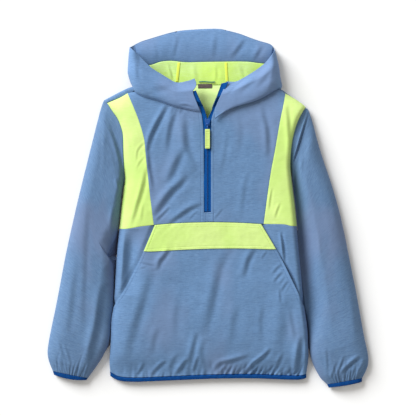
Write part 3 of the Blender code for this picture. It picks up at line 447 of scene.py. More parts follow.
def makeFront():
    pieces = {}
    rows = stations(230, sewnEdge, sewnEdge, 2.3)
    leftInsert = patch(cut(waistLine, (-178, -42), (-108, -34)), soften(outline["insertLeftTop"]),
                       cut(sideLeft, (-178, -42), (-202, 210)), seamLeft[::-1])
    xyz, *_ = panelOnFront(leftInsert, stations(62, foldedEdge, stitchedEdge, 2.2),
                           rows, (0, .02, .1, .15), (front["smallFolds"],),
                           seams={"right": "sewn", "bottom": "sewn"}, share=("right", 0.75))
    pieces["insertLeft"] = gridPiece("insertLeft", xyz, xyz[:2])
    rightInsert = patch(cut(waistLine, (111, -32), (178, -36)),
                        soften(outline["insertRightTop"]), seamRight[::-1],
                        cut(sideRight, (178, -36), (196, 202)))
    xyz, *_ = panelOnFront(rightInsert,
                           stations(62, stitchedEdge, foldedEdge, 2.2), rows,
                           (.02, 0, .1, .15), (front["smallFolds"],),
                           seams={"left": "sewn", "bottom": "sewn"})
    pieces["insertRight"] = gridPiece("insertRight", xyz, xyz[:2])

    # the chest: two halves beside the zip's slit, and faces between them below its end
    chest = {"slitEnd": -9.0, "lap": 8.0}
    slitLeft = [(-8, -28.5), (-8, 168), (-17, 202)]
    slitRight = [(6, -28), (6, 166), (7, 180), (16, 204)]
    neckL = join([(-161, 230), (-145, 233)],
                 [(x, y + chest["lap"]) for x, y in outline["neckLeft"][2:-1]], [(-17, 202)])
    neckR = join([(16, 204), (36, 204)],
                 [(x, y + chest["lap"]) for x, y in outline["neckRight"][-3:2:-1]],
                 [(145, 238), (155, 230)])
    planL = patch(cut(waistLine, (-108, -34), (-8, -28.5)), soften(neckL), seamLeft[::-1],
                  soften(slitLeft))
    planR = patch(cut(waistLine, (6, -28), (111, -32)), soften(neckR), soften(slitRight),
                  seamRight[::-1])
    halves = []
    for plan, columns, sides in ((planL, stations(115, stitchedEdge, stitchedEdge, 2.3),
                                  {"left": "sewn", "right": "stitched", "bottom": "sewn"}),
                                 (planR, stations(115, stitchedEdge, stitchedEdge, 2.3),
                                  {"left": "stitched", "right": "sewn", "bottom": "sewn"})):
        inset = (.02, 0, .3, 0) if plan is planL else (0, .02, .3, 0)
        xyz, u, v, wide, high = panelOnFront(plan, columns, rows, inset,
                                             (front["smallFolds"],), seams=sides)
        halves.append(xyz)
    both = [np.hstack([a, b]) for a, b in zip(*halves)]
    seam = halves[0][0].shape[1] - 1
    keep = np.ones((both[0].shape[0] - 1, both[0].shape[1] - 1), bool)
    keep[:, seam] = (both[1][:-1, seam] + both[1][1:, seam]) / 2 < chest["slitEnd"]
    pieces["chestPanel"] = gridPiece("chestPanel", both, both[:2], keep)

    # the panel behind the pocket
    drop = {"lip": 3.0, "inside": 1.8, "gape": 4.5}

    def underPocket(x, y):
        left = x - np.interp(y, pocketLeft[::-1, 1], pocketLeft[::-1, 0])
        right = np.interp(y, pocketRight[::-1, 1], pocketRight[::-1, 0]) - x
        inside = np.minimum(left, right) * 0.85
        gaping = drop["gape"] * np.exp(-((y + 136) / 30) ** 2) * (right < 60)
        return ((drop["lip"] + gaping) * ease((inside + 9) / 9)
                + drop["inside"] * ease(inside / 12))

    low = soften([(x, y + 14) for x, y in outline["hem"]])
    low[0], low[-1] = (-197.6, -312), (200, -312)
    lower = patch(low, waistLine, cut(sideLeft, (-197.6, -312), (-178, -42)),
                  cut(sideRight, (200, -312), (178, -36)))
    xyz, *_ = panelOnFront(lower, stations(360, foldedEdge, foldedEdge, 1.9),
                           stations(275, (0, 6), sewnEdge, 2.4), (0, 0, 0, .1),
                           (front["smallFolds"],), sunk=underPocket, seams={"top": "sewn"})
    pieces["frontLower"] = gridPiece("frontLower", xyz, xyz[:2])

    # the pocket and its flap
    flap = {"low": 0.82, "rise": 1.3}
    pocket = patch(hemLine, cut(waistLine, (-106, -34), (106, -32)), pocketLeft[::-1],
                   pocketRight[::-1])
    across = stations(392, stitchedEdge, stitchedEdge, 2.2)
    xyz, u, v, wide, high = panelOnFront(
        pocket, across, stations(300, (0, .8, 2, 4), (0, 6), 2.1), (0, 0, 0, .4),
        (front["pocketFolds"],), seams={"left": "stitched", "right": "stitched"})
    pieces["pocketPanel"] = gridPiece("pocketPanel", xyz, xyz[:2])

    flapRows = np.array([0, .4, 1, 2, 3, 4, 4.8, 5.4, 6, 6.6, 7.4, 9] +
                        list(np.linspace(11, 46, 17)) + [48, 50, 51.5, 52.5, 53.3]) / 53.5
    u, _, wide, high = spreadOut(pocket, across, (np.zeros(1), np.array([0.9])))
    v = (flap["low"] + (1.001 - flap["low"]) * flapRows)[:, None] * np.ones_like(u)
    u = np.repeat(u, len(flapRows), 0)
    x, y = pocket(u, v)
    z = frontHeight(x, y, False, (front["pocketFolds"],)) + flap["rise"]
    ends = np.minimum(u, 1 - u) * wide
    fromLow = (v - flap["low"]) * high
    fromTop = (1 - v) * high
    z = (z + stitchDip(ends) + stitchDip(fromLow) + stitchDip(fromTop)
         - 0.5 * np.exp(-np.abs(fromTop) / 1.2))
    z = z - 0.9 * np.exp(-ends / 0.8) + 0.15 * softNoise(x, y, 6, 31)
    pieces["pocketFlap"] = gridPiece("pocketFlap", [x, y, z], [x, y])
    return pieces


# the back
def makeBack():
    # X and Y of the upper edge on the table, how far it goes on, and the radius it turns with
    top = [(-204, 211.4, 20.6, 6), (-173.2, 227.7, 23.8, 6), (-159, 234.6, 23.4, 6),
           (-152, 237, 25, 6), (-140, 237, 15, 8), (-120, 240, 6, 90), (-60, 240, 6, 200),
           (60, 240, 6, 200), (120, 240, 6, 90), (134, 237, 6, 20), (144, 231, 8, 12),
           (152, 224, 11.4, 8), (172, 211, 11.4, 8), (189, 190.5, 11.4, 8)]
    plan = patch(hemLine, np.array(top)[:, :2],
                 join(sideLeft[::-1][:-3], [top[0][:2]]), join(sideRight[::-1][:-3], [top[-1][:2]]))
    across = stations(390, foldedEdge, foldedEdge, 4)
    along = stations(560, (0, 2, 6), (0, 2, 6), 5)
    u, v, *_ = spreadOut(plan, across, along)
    turn = np.linspace(0, 1, 14)[1:, None]
    u = np.vstack([u, np.repeat(u[-1:], len(turn), 0)])
    v = np.vstack([v, 1 + turn * np.ones_like(v[:1])])
    x, y = plan(u, np.minimum(v, 1))
    edges = [plan(end + 0 * u, np.minimum(v, 1)) for end in (0.0, 1.0)]
    z = np.zeros_like(x)
    for near, column, end in ((x - edges[0][0], 1, 50), (edges[1][0] - x, 2, 78)):
        side = np.minimum(readTable(front["rows"], y, column), 8)
        z = np.maximum(z, (side - 0.4) * (1 - ease((y - end) / 20))
                       * (1 - rise(np.maximum(near, 0), side)))
    _, _, reach, radius = walk(top, u)
    length = reach * np.maximum(v - 1, 0)
    angle = np.minimum(length / radius, math.pi)
    leanX = np.where(x < -100, -0.46, np.where(x > 100, 0.5, 0))
    leanY = np.where(x < -100, 0.89, np.where(x > 100, 0.86, 1))
    out = radius * np.sin(angle) - np.maximum(0, length - math.pi * radius)
    return gridPiece("backPanel", [x + leanX * out, y + leanY * out,
                                   z + radius * (1 - np.cos(angle))], [x, y], flip=True)


# sleeves
sleeves = {
    "left": {
        "outer": [(-208.8, 216.8), (-214, 202), (-220, 180), (-236, 116), (-256, 36),
                  (-270, -24), (-286, -96), (-302, -184), (-316, -250), (-321, -278),
                  (-322, -292), (-319, -308), (-311, -327)],
        "inner": [(-167.3, 56), (-171.4, 36), (-175.4, 0), (-179.4, -42), (-184, -60),
                  (-194, -81), (-199.6, -95), (-202, -98), (-198.5, -101), (-192, -107),
                  (-189, -118), (-188.4, -136), (-189.4, -184), (-190.6, -202), (-194, -220),
                  (-195.4, -254), (-200, -276), (-212, -300), (-224, -318), (-241, -341)],
        "arm": "armLeft",
        "folds": [
            (.45, 6, 7, [(-200, 166), (-190, 144), (-184, 126), (-178, 106), (-171, 70)]),
            (-.14, 7, 7, [(-209, 204), (-210, 160), (-211, 110), (-214, 70)]),
            (.45, 5, 6, [(-184, 58), (-179, 45), (-172, 34)]),
            (.35, 8, 9, [(-186, 4), (-189, -20), (-190, -44), (-184, -64)]),
            (.14, 11, 9, [(-238, 0), (-242, -40), (-246, -130), (-250, -250)]),
            (.14, 12, 12, [(-264, -110), (-272, -180), (-280, -250)]),
            (.42, 12, 17, [(-212, -150), (-217, -192), (-222, -236), (-236, -287), (-238, -330)]),
            (.25, 5, 5, [(-300, -262), (-292, -282), (-286, -306)]),
            (.25, 4, 4, [(-288, -270), (-278, -294), (-272, -318)]),
        ],
        "cuffSeed": 5, "outward": -1, "tucked": 0.3, "sunk": 0.0, "innerRun": 36.0,
        "gathered": 0.9,
    },
    "right": {
        "outer": [(199.8, 197.8), (210, 172), (224, 116), (250, 42), (268, -24), (284, -104),
                  (300, -184), (312, -254), (320, -288), (322, -304), (320, -320), (309, -341)],
        "inner": [(165.8, 84), (167.4, 72), (171.4, 36), (175.4, 6), (179.4, -36),
                  (181.4, -64), (185.6, -104), (190, -144), (193, -174), (197, -204),
                  (201.6, -244), (203, -274), (203.6, -292), (209.6, -312), (221, -334),
                  (227, -343), (239, -353.5)],
        "arm": "armRight",
        "folds": [
            (1.5, 2.5, 3.5, [(201, 196), (198, 183), (191.2, 164.6), (182.6, 136), (175.4, 110.2),
                             (169.8, 93.2), (168.2, 78)]),
            (.36, 3, 17, [(201, 196), (198, 183), (191.2, 164.6), (182.6, 136), (175.4, 110.2),
                          (169.8, 93.2), (168.2, 60)]),
            (.16, 6, 7, [(196, 134), (189, 104), (187, 76), (188, 40)]),
            (.12, 9, 12, [(196, 30), (198, -20), (200, -70), (198, -130)]),
            (-.16, 7, 8, [(216, -40), (217, -70), (216, -120), (212, -170)]),
            (.60, 4, 5, [(212, -156), (202, -161), (193, -155)]),
            (.16, 12, 12, [(244, 60), (258, 0), (270, -60)]),
            (.18, 12, 12, [(290, -150), (296, -210), (300, -270)]),
            (.75, 6, 6, [(304, -296), (300, -300), (288, -308), (266, -330)]),
            (.60, 6, 6, [(318, -300), (312, -310), (306, -322), (296, -344)]),
            (.45, 4, 4, [(272, -296), (266, -312), (258, -334)]),
            (.35, 4, 4, [(256, -308), (252, -322), (246, -342)]),
            (.25, 5, 5, [(236, -280), (238, -306), (240, -336)]),
        ],
        "cuffSeed": 8, "outward": 1, "tucked": 1.0, "sunk": 5.5, "innerRun": 52.0,
        "gathered": 1.5,
    },
}
sleeveCrown = [(0, 24), (0.1, 30), (0.5, 31), (0.85, 28), (0.95, 22), (1, 15)]


def ringShares(width, step, edge=foldedEdge, under=(1.5, 4, 9)):
    # shares round a tube: over the top from the outer edge to the inner, then underneath
    offset, share = stations(width, edge, edge, step)
    top = offset / width + share
    offset, share = stations(width, under, under, 14)
    low = (offset / width + share)[::-1]
    return np.concatenate([top, low, top[:1]]), np.concatenate(
        [np.ones(len(top), bool), np.zeros(len(low), bool), [True]])


def makeSleeve(side):
    arm = sleeves[side]
    outer, inner, armhole = soften(arm["outer"]), soften(arm["inner"]), soften(outline[arm["arm"]])
    s, over = ringShares(112, 1.5)
    rings = np.concatenate([[0, .0008, .002, .0035], np.linspace(.005, .062, 33),
                            np.linspace(.0665, .96, 205), np.linspace(.963, 1, 16)])
    s, v = s[None, :] * np.ones((len(rings), 1)), rings[:, None] * np.ones((1, len(s)))
    over = over[None, :] & (v >= 0)
    a, b = walk(outer, v), walk(inner, v)
    wide = np.hypot(b[0] - a[0], b[1] - a[1])
    x, y = mix(a[0], b[0], s), mix(a[1], b[1], s)
    keep = np.clip(1 - v / 0.35, 0, 1) ** 2
    mark = walk(armhole, s)
    x = x + keep * (mark[0] - mix(armhole[0][0], armhole[-1][0], s))
    y = y + keep * (mark[1] - mix(armhole[0][1], armhole[-1][1], s))
    beside = ease(v / 0.1) * ease((0.82 - v) / 0.2)
    rest = mix(mix(6, 7, v), mix(8, 7, v) - arm["sunk"] * beside, s)
    run = np.minimum(wide * 0.5, 36)
    inner = rise((1 - s) * wide, run if side == "right" else
                 mix(run, 8, np.exp(-((y + 92) / 22) ** 2)))
    tuck = ease((1 - s) * wide / np.minimum(wide * 0.6, arm["innerRun"]))
    shape = rise(s * wide, run) * mix(inner, tuck, arm["tucked"] * beside)
    creased = folds(arm["folds"], x, y) * ease(v / 0.02) * shape
    lift = readTable(sleeveCrown, v) - rest
    lift += 0.6 * softNoise(x, y, 38, 40 + arm["cuffSeed"]) + 0.15 * softNoise(x, y, 8, 6)
    rng = np.random.default_rng(arm["cuffSeed"])
    for i in range(15):
        place, depth = (i + rng.uniform(0.2, 0.8)) / 15, rng.uniform(1.0, 2.8) * arm["gathered"]
        width, reach = rng.uniform(0.013, 0.030), rng.uniform(0.03, 0.08)
        lift += (-depth * np.exp(-((s - place - rng.uniform(-1, 1) * (1 - v)) / width) ** 2)
                 * np.exp(-((1 - v) / reach) ** 2))
    column = 1 if side == "left" else 2
    sewn = readTable(frontRows, mark[1], column) + 2.6
    if side == "left":
        corner = 6 + 6 * rise(np.hypot(mark[0] + 208, mark[1] - 217), 9)
        sewn = np.where(mark[1] > 210, corner, sewn)
    length = 570 * v
    z = mix(sewn, rest + lift * shape, ease(v / 0.07)) + creased + seamDip(length, 0.4, 1.2)
    under = rest - rest * rise(np.minimum(s, 1 - s) * wide, rest)
    x = x - arm["outward"] * 1.1 * np.exp(-length / 3) * over
    x = np.where(over, x, x + arm["outward"] * 3 * np.sin(math.pi * s) * (1 - ease(v / 0.05)))
    z = np.where(over, z, under)
    # the under layer spreads to the body where the upper one stands away from it
    near = ease((y + 296) / 24) * ease((-36 - y) / 24)
    spread = -arm["outward"] * 4.6 * near
    if side == "left":
        spread = spread + 13 * np.exp(-((y + 90) / 26) ** 2)
    x = x + ~over * spread * ease((s - 0.7) / 0.3)
    z = np.where(over, z, np.maximum(z * (1 - 0.9 * near), near))
    piece = gridPiece("sleeve" + side.title(), [x, y, z], [s * 110, length], ring=True,
                      flip=side == "left")
    return piece


def makeCuff(side, ends, lowEnds, bow, height):
    s, over = ringShares(72, 1.6)
    v = np.concatenate([[0, .04, .12], np.linspace(.2, .8, 7), [.88, .96, 1]])[:, None]
    s = s[None, :] * np.ones_like(v)
    a = [mix(p, q, v) for p, q in zip(ends[0], lowEnds[0])]
    b = [mix(p, q, v) for p, q in zip(ends[1], lowEnds[1])]
    wide = np.hypot(b[0] - a[0], b[1] - a[1])
    rounded = 0.9 * np.sqrt(np.clip(1 - (2 * v - 1) ** 4, 0, 1)) - 0.9
    x, y = mix(a[0], b[0], s), mix(a[1], b[1], s) - v * bow * np.sin(math.pi * s)
    top = 7 + (height - 7) * rise(s * wide, 32) * rise((1 - s) * wide, 32)
    top = top + rounded + 0.5 * np.sin(s * 95) * (1 - v)
    low = 7 - 7 * rise(np.minimum(s, 1 - s) * wide, 7)
    z = np.where(over[None, :] & (v >= 0), top, low)
    return gridPiece("cuff" + side.title(), [x, y, z], [s * 72, v * 8], ring=True,
                     flip=side == "left")


def makeHem():
    width = 393.0
    s, over = ringShares(width, 1.8, under=(2, 6, 14))
    v = np.concatenate([[0, .04, .12], np.linspace(.2, .8, 7), [.88, .96, 1]])[:, None]
    s = s[None, :] * np.ones_like(v)
    x = -196 + width * s
    y = readTable(hemLine, x) - 0.3 - v * 8.4
    rounded = 0.9 * np.sqrt(np.clip(1 - (2 * v - 1) ** 4, 0, 1)) - 0.9
    wave = 0.4 * np.sin(x * 0.42 + 1.1 * np.sin(x * 0.05)) * (1 - v)
    top = 6 + 6.3 * rise(s * width, 34) * rise((1 - s) * width, 30) + rounded + wave
    sewn = frontHeight(x, readTable(hemLine, x), False, (front["pocketFolds"],))
    top = mix(top, np.maximum(sewn - 0.5, 7), ease(1 - v / 0.35))
    low = 6 - 6 * rise(np.minimum(s, 1 - s) * width, 6)
    return gridPiece("hemBinding", [x, y, np.where(over[None, :] & (v >= 0), top, low)],
                     [x, y], ring=True, flip=True)


# the hood
hood = {
    "leftFold": [(-146, 232), (-151, 242), (-156, 252), (-159, 262), (-161.4, 272), (-160, 290),
                 (-159, 306), (-157, 322)],
    "leftOpen": [(-157, 322), (-136, 303), (-120, 286), (-106, 275), (-92, 267), (-76, 257),
                 (-68, 252), (-60, 250), (-48, 252), (-36, 255), (-27, 259)],
    "leftZip": [(-16, 194), (-24, 214), (-31, 232), (-27, 238), (-24, 242), (-23, 250),
                (-27, 259)],
    "leftBack": [(-157, 322), (-136, 334), (-116, 340), (-90, 348), (-72, 353), (-62, 355)],
    "rightFold": [(146, 238), (144, 246), (145, 256), (144, 272), (142, 286), (138, 302),
                  (134, 316)],
    "rightOpen": [(134, 316), (120, 296), (110, 286), (94, 274), (78, 264), (64, 256),
                  (56, 252), (44, 252), (38, 253)],
    "rightZip": [(14, 180), (14, 200), (26, 226), (38, 253)],
    "rightBack": [(134, 316), (131, 324), (124, 330), (104, 335), (84, 342), (64, 350),
                  (44, 355), (36, 357)],
    "top": [(-62, 355), (-46, 357), (-16, 359), (14, 360), (28, 359), (36, 357)],
    "neckY": 246.5, "foldHeight": 12, "seamX": (-62, 36), "crown": (37, 39),
    "over": (3.4, 8.5),     # how far the lower edge stands above the chest
    "roll": 2.0,            # radius that the lower edge turns under with
    "folds": [
        (.45, 4, 5, [(-28, 200), (-42, 206), (-58, 206)]),
        (.18, 12, 12, [(-70, 246), (-96, 238), (-124, 234)]),
        (.30, 7, 7, [(-142, 292), (-143, 270), (-138, 250)]),
        (.35, 5, 5, [(74, 262), (56, 244), (36, 226)]),
        (.22, 9, 9, [(104, 270), (84, 250), (60, 230)]),
        (.20, 10, 10, [(126, 286), (116, 262), (96, 240)]),
        (.35, 6, 7, [(138, 306), (134, 284), (128, 256)]),
    ],
    "facingTop": [(-146, 326), (-136, 332), (-116, 338), (-90, 346), (-72, 351), (-46, 355),
                  (-16, 357), (14, 358), (28, 357), (44, 353), (64, 348), (84, 340),
                  (104, 333), (122, 328), (131, 323)],
    "facingSeam": [(-140, 284), (-120, 286), (-110, 288), (-96, 294), (-72, 296), (-46, 292),
                   (-16, 293), (44, 294), (80, 294), (100, 291), (118, 289), (127, 290)],
    "facingDents": [(.45, 8, 9, [(78, 344), (62, 322), (44, 296)]),
                    (.30, 9, 9, [(16, 358), (14, 326), (12, 296)]),
                    (.40, 8, 8, [(112, 332), (100, 310), (90, 292)]),
                    (.30, 7, 7, [(-58, 354), (-64, 325), (-70, 296)]),
                    (.25, 7, 7, [(-110, 340), (-104, 315), (-100, 292)])],
    "liningFolds": [(.70, 4, 4, [(-81, 292), (-74, 272), (-70, 254)]),
                    (.20, 7, 7, [(-30, 290), (-24, 270), (-20, 252)]),
                    (.25, 6, 6, [(60, 292), (68, 276), (74, 256)]),
                    (.25, 5, 5, [(14, 290), (18, 270), (16, 254)])],
}


def makeHoodSide(side):
    i = 0 if side == "left" else 1
    sign = 1 - 2 * i
    fold, opening = soften(hood[side + "Fold"]), soften(hood[side + "Open"])
    zipped, backTop = soften(hood[side + "Zip"]), soften(hood[side + "Back"])
    neck = neckLeft if side == "left" else neckRight
    seamX, crown, over = hood["seamX"][i], hood["crown"][i], hood["over"][i]
    leaf = patch(neck, opening, fold, zipped)
    corner = (fold[0][0] - 3 * sign, hood["neckY"])
    backLeaf = patch([(seamX, hood["neckY"]), corner], backTop[::-1],
                     [(seamX, hood["neckY"]), tuple(backTop[-1])],
                     join([corner], fold[10:]))
    u = np.concatenate([np.linspace(0, .40, 14), np.linspace(.42, .497, 10),
                        .5 + .5 * np.array([0, .004, .01, .02, .035, .055, .08]),
                        .5 + .5 * np.linspace(.105, .975, 62), .5 + .5 * np.array([.985, .993, 1])])
    v = np.concatenate([[0, .006, .014, .025, .04], np.linspace(.055, .95, 62),
                        [.962, .972, .98, .987, .993, .997, 1]])
    u, v = u[None, :] * np.ones((len(v), 1)), v[:, None] * np.ones((1, len(u)))
    start = frontHeight(neck[0][0], neck[0][1]) + over - 1
    rest = mix(start, hood["foldHeight"], ease(v / 0.3))
    bx, by = backLeaf(np.minimum(u * 2, 1), v)
    ex, ey = backLeaf(1.0, v)
    near = np.hypot(ex - bx, ey - by)
    bz = rest - rest * rise(near, hood["foldHeight"])
    s = np.clip((u - 0.5) * 2, 0, 1)
    fx, fy = leaf(s, v)
    ex, ey = leaf(0.0, v)
    near = np.hypot(ex - fx, ey - fy)
    nx, ny = walk(neck, s)
    low = frontHeight(nx, ny) + over
    top = mix(low, crown, rise(v, 0.32)) - 11 * ease((v - 0.6) / 0.4) * ease(near / 30)
    top = top + folds(hood["folds"], fx, fy, 1.1) * rise(v, 0.1) * rise(1 - v, 0.15)
    top = top + 0.5 * softNoise(fx, fy, 26, 51) + 0.15 * softNoise(fx, fy, 8, 52)
    tx, ty = leaf(s, 1.0)
    fromOpening = np.hypot(tx - fx, ty - fy)
    top = top - 1.1 * np.exp(-fromOpening / 1.3) + stitchDip(fromOpening, 9, 0.25)
    fz = rest + (top - rest) * rise(near, 28)
    onBack = u < 0.5
    x, y, z = np.where(onBack, bx, fx), np.where(onBack, by, fy), np.where(onBack, bz, fz)
    # the lower edge turns under, towards the neck seam
    turn = np.linspace(math.pi * 0.95, 0, 9)[:-1, None]
    ax, ay = x[:1], y[:1]
    dx, dy = x[3:4] - ax, y[3:4] - ay
    size = np.maximum(np.hypot(dx, dy), 1e-6)
    amount = ease((u[:1] - 0.5) / 0.05) * hood["roll"]
    hang = np.linspace(1.2, .15, len(turn))[:, None]
    rx = ax - dx / size * (amount * np.sin(turn) + hang)
    ry = ay - dy / size * (amount * np.sin(turn) + hang)
    rz = z[:1] - amount * (1 - np.cos(turn))
    x, y, z = np.vstack([rx, x]), np.vstack([ry, y]), np.vstack([rz, z])
    return gridPiece("hood" + side.title(), [x, y, z], [x, y], flip=side == "right")


def makeHood():
    pieces = {"hoodLeft": makeHoodSide("left"), "hoodRight": makeHoodSide("right")}
    a, b = hood["seamX"]
    strip = patch([(a, hood["neckY"]), (b, hood["neckY"])], hood["top"],
                  [(a, hood["neckY"]), (a, 355)], [(b, hood["neckY"]), (b, 357)])
    u, v = np.meshgrid(np.linspace(0, 1, 26), np.linspace(0, 1, 28))
    x, y = strip(u, v)
    pieces["hoodCentre"] = gridPiece("hoodCentre", [x, y, 0 * x], [x, y], flip=True)

    seam, top = soften(hood["facingSeam"]), soften(hood["facingTop"])
    plan = patch(seam, top, [seam[0], top[0]], [seam[-1], top[-1]])
    rows = np.concatenate([[0, .01, .025, .05, .08], np.linspace(.11, 1, 30)])
    u, v = np.meshgrid(np.linspace(0, 1, 130), rows)
    x, y = plan(u, np.maximum(v, .002))
    puff = np.sin(math.pi * v) * rise(np.minimum(u, 1 - u), 0.12)
    dents = folds(hood["facingDents"], x, y, 0.9)
    z = 3.4 + (4.5 + dents + 1.0 * softNoise(x, y, 26, 61)) * puff
    z = z + seamDip(v * 60, 0.5, 1.5)
    pieces["hoodFacing"] = gridPiece("hoodFacing", [x, y, z], [x, y])

    low = [(-104, 250), (-40, 246.5), (40, 246.5), (96, 250)]
    plan = patch(low, seam, [low[0], seam[0]], [low[-1], seam[-1]])
    u, v = np.meshgrid(np.linspace(0, 1, 110), np.linspace(0, .995, 26))
    x, y = plan(u, v)
    z = 3.1 + 0.4 * v + (folds(hood["liningFolds"], x, y) + 0.25 * softNoise(x, y, 14, 71)) \
        * np.sin(math.pi * v) * 0.8
    z = np.maximum(z, 2.2)
    pieces["hoodLining"] = gridPiece("hoodLining", [x, y, z], [x, y])
    for name, lowX, highX in (("hoodTapeLeft", (-65, -60), (-61, -55.5)),
                              ("hoodTapeRight", (35.5, 40.5), (33.5, 38.5))):
        u, v = np.meshgrid(np.linspace(0, 1, 8), np.linspace(0, 1, 30))
        x = mix(mix(*lowX, u), mix(*highX, u), v)
        y = mix(253, 291.5, v)
        z = 4.0 + 0.2 * np.sin(math.pi * u) + 0.1 * softNoise(x, y, 5, 72)
        pieces[name] = gridPiece(name, [x, y, z], [u * 6, v * 40])

    u, v = np.meshgrid(np.linspace(0, 1, 60), np.linspace(0, 1, 56))
    x, y = mix(-62, 62, u), mix(130, 246, v)
    z = (2.8 + 2.5 * ease((y - 180) / 20) * ease((246 - y) / 20)
         + 0.5 * softNoise(x, y, 18, 81) * np.sin(math.pi * v))
    pieces["neckLining"] = gridPiece("neckLining", [x, y, z], [x, y])

    # the bare label, sewn down at its ends, and the hanging loop
    u, v = np.meshgrid(np.linspace(0, 1, 30), np.linspace(0, 1, 12))
    x, y = mix(-20, 8, u), mix(240.2, 248.8, v)
    pieces["neckLabel"] = gridPiece("neckLabel", [x, y, 3.9 + 0.2 * np.sin(math.pi * u)
                                                  + 0.05 * softNoise(x, y, 4, 82)], [x, y])
    angle = np.linspace(0, 2 * math.pi, 13)
    u, v = np.meshgrid(np.linspace(0, 1, 50), angle)
    cx, cy = mix(-18, 14, u), 253 + 0.6 * np.sin(math.pi * 2 * u)
    cz = 4.9 + 1.2 * np.sin(math.pi * u)
    pieces["hangLoop"] = gridPiece("hangLoop", [cx, cy + 1.1 * np.cos(v), cz + 0.7 * np.sin(v)],
                                   [u * 32, v], flip=False)
    return pieces


# the zip
zipFly = {
    # X and Y of each tape's outer and inner edge and how far it lies above the chest
    "left": [(-34, 232, -24, 234, 6), (-27, 214, -14, 211, 6), (-22.5, 204.5, -9.5, 203, -1.0),
             (-19, 196, -5, 192, -1.2), (-12, 172, -1.15, 178, -1.2), (-11, 150, -1.15, 150, -1.2),
             (-11, 60, -1.15, 60, -1.2), (-11, -8, -1.15, -8, -1.2)],
    "right": [(41, 252, 26.5, 248, 2.2), (29, 226, 16.5, 220, 8), (19, 207, 8.5, 201, -1.0),
              (17, 200, 8, 196, -1.2), (9.5, 176, -.85, 178, -1.2), (9, 150, -.85, 150, -1.2),
              (9, 60, -.85, 60, -1.2), (9, -8, -.85, -8, -1.2)],
    "centreX": -1.0, "sliderY": 171.0, "pinY": 167.0, "pinZ": 36.5667, "reach": 9.5,
}


def tapeSurface(side, u, v):
    rows = np.array(zipFly[side], float)
    n = len(rows) - 1
    row = [np.interp(v * n, np.arange(n + 1), rows[:, i]) for i in range(5)]
    x, y = mix(row[0], row[2], u), mix(row[1], row[3], u)
    return x, y, frontHeight(x, np.minimum(y, 203), True) + row[4]


def makeTapes():
    pieces = {}
    for side in ("left", "right"):
        u, v = np.meshgrid(np.linspace(0, 1, 12), np.linspace(0, 1, 180))
        x, y, z = tapeSurface(side, u, v)
        z = z + 0.35 * ease((u - 0.55) / 0.3)
        pieces[side] = gridPiece("zipTape" + side.title(), [x, y, z], [u * 12, v * 250],
                                 flip=side == "left")
    return pieces


def smallPart(name, verts, faces, bevel=0.0, segments=2):
    mesh = bpy.data.meshes.new(name)
    mesh.from_pydata([[c * mm for c in v] for v in verts], [], faces)
    mesh.update()
    mesh.shade_smooth()
    piece = bpy.data.objects.new(name, mesh)
    bpy.context.scene.collection.objects.link(piece)
    if bevel:
        soft = piece.modifiers.new("edge", "BEVEL")
        soft.width, soft.segments, soft.limit_method = bevel * mm, segments, "ANGLE"
        soft.harden_normals = True
    return piece


def slab(points, low, high):
    # a flat outline made solid between two heights
    n = len(points)
    verts = [(x, y, low) for x, y in points] + [(x, y, high) for x, y in points]
    faces = [list(range(n))[::-1], list(range(n, 2 * n))]
    faces += [[i, (i + 1) % n, n + (i + 1) % n, n + i] for i in range(n)]
    return verts, faces


def tube(path, radii, sides=12, flat=1.0):
    # a closed round bar along points, with a radius at each
    verts, faces = [], []
    path = [np.array(p, float) for p in path]
    for i, p in enumerate(path):
        ahead = path[min(i + 1, len(path) - 1)] - path[max(i - 1, 0)]
        ahead /= np.linalg.norm(ahead)
        side = np.array([1.0, 0, 0]) if abs(ahead[0]) < 0.9 else np.array([0, 1.0, 0])
        side = side - ahead * side.dot(ahead)
        side /= np.linalg.norm(side)
        up = np.cross(ahead, side)
        for k in range(sides):
            a = 2 * math.pi * k / sides
            verts.append(tuple(p + radii[i] * (side * math.cos(a) + up * flat * math.sin(a))))
    for i in range(len(path) - 1):
        for k in range(sides):
            a, b = i * sides + k, i * sides + (k + 1) % sides
            faces.append([a, b, b + sides, a + sides])
    last = (len(path) - 1) * sides
    faces += [list(range(sides))[::-1], [last + k for k in range(sides)]]
    return verts, faces


def together(*parts):
    verts, faces = [], []
    for v, f in parts:
        faces += [[i + len(verts) for i in face] for face in f]
        verts += v
    return verts, faces


sliderShape = {"wide": 5.5, "narrow": 4.2, "length": 7.5, "plate": 0.9, "low": 32.6, "high": 34.2}


def makeSlider():
    p, cx, cy = sliderShape, zipFly["centreX"], zipFly["sliderY"]
    shape = [(-p["narrow"], -p["length"]), (p["narrow"], -p["length"]), (p["narrow"], -1),
             (p["wide"], 2.5), (p["wide"], 5), (3.4, p["length"]), (1.3, p["length"] - .6),
             (0, p["length"] - 2.2), (-1.3, p["length"] - .6), (-3.4, p["length"]),
             (-p["wide"], 5), (-p["wide"], 2.5), (-p["narrow"], -1)]
    line = [(cx + x, cy + y) for x, y in shape]
    top = slab(line, p["high"], p["high"] + p["plate"])
    bottom = slab(line, p["low"] - p["plate"], p["low"])
    post = slab([(cx + x, cy + y) for x, y in ((-.7, 1), (.7, 1), (1.1, 4.6), (-1.1, 4.6))],
                p["low"] - .2, p["high"] + .2)
    lugs = [slab([(cx + s * 3.0 + x, zipFly["pinY"] + y) for x, y in
                  ((-.65, -1.6), (.65, -1.6), (.65, 1.6), (-.65, 1.6))], p["high"] + .5, 37.6)
            for s in (-1, 1)]
    pin = tube([(cx - 3.2, zipFly["pinY"], zipFly["pinZ"]), (cx + 3.2, zipFly["pinY"],
                                                             zipFly["pinZ"])], [.9, .9])
    return smallPart("zipSlider", *together(top, bottom, post, *lugs, pin), bevel=0.28)


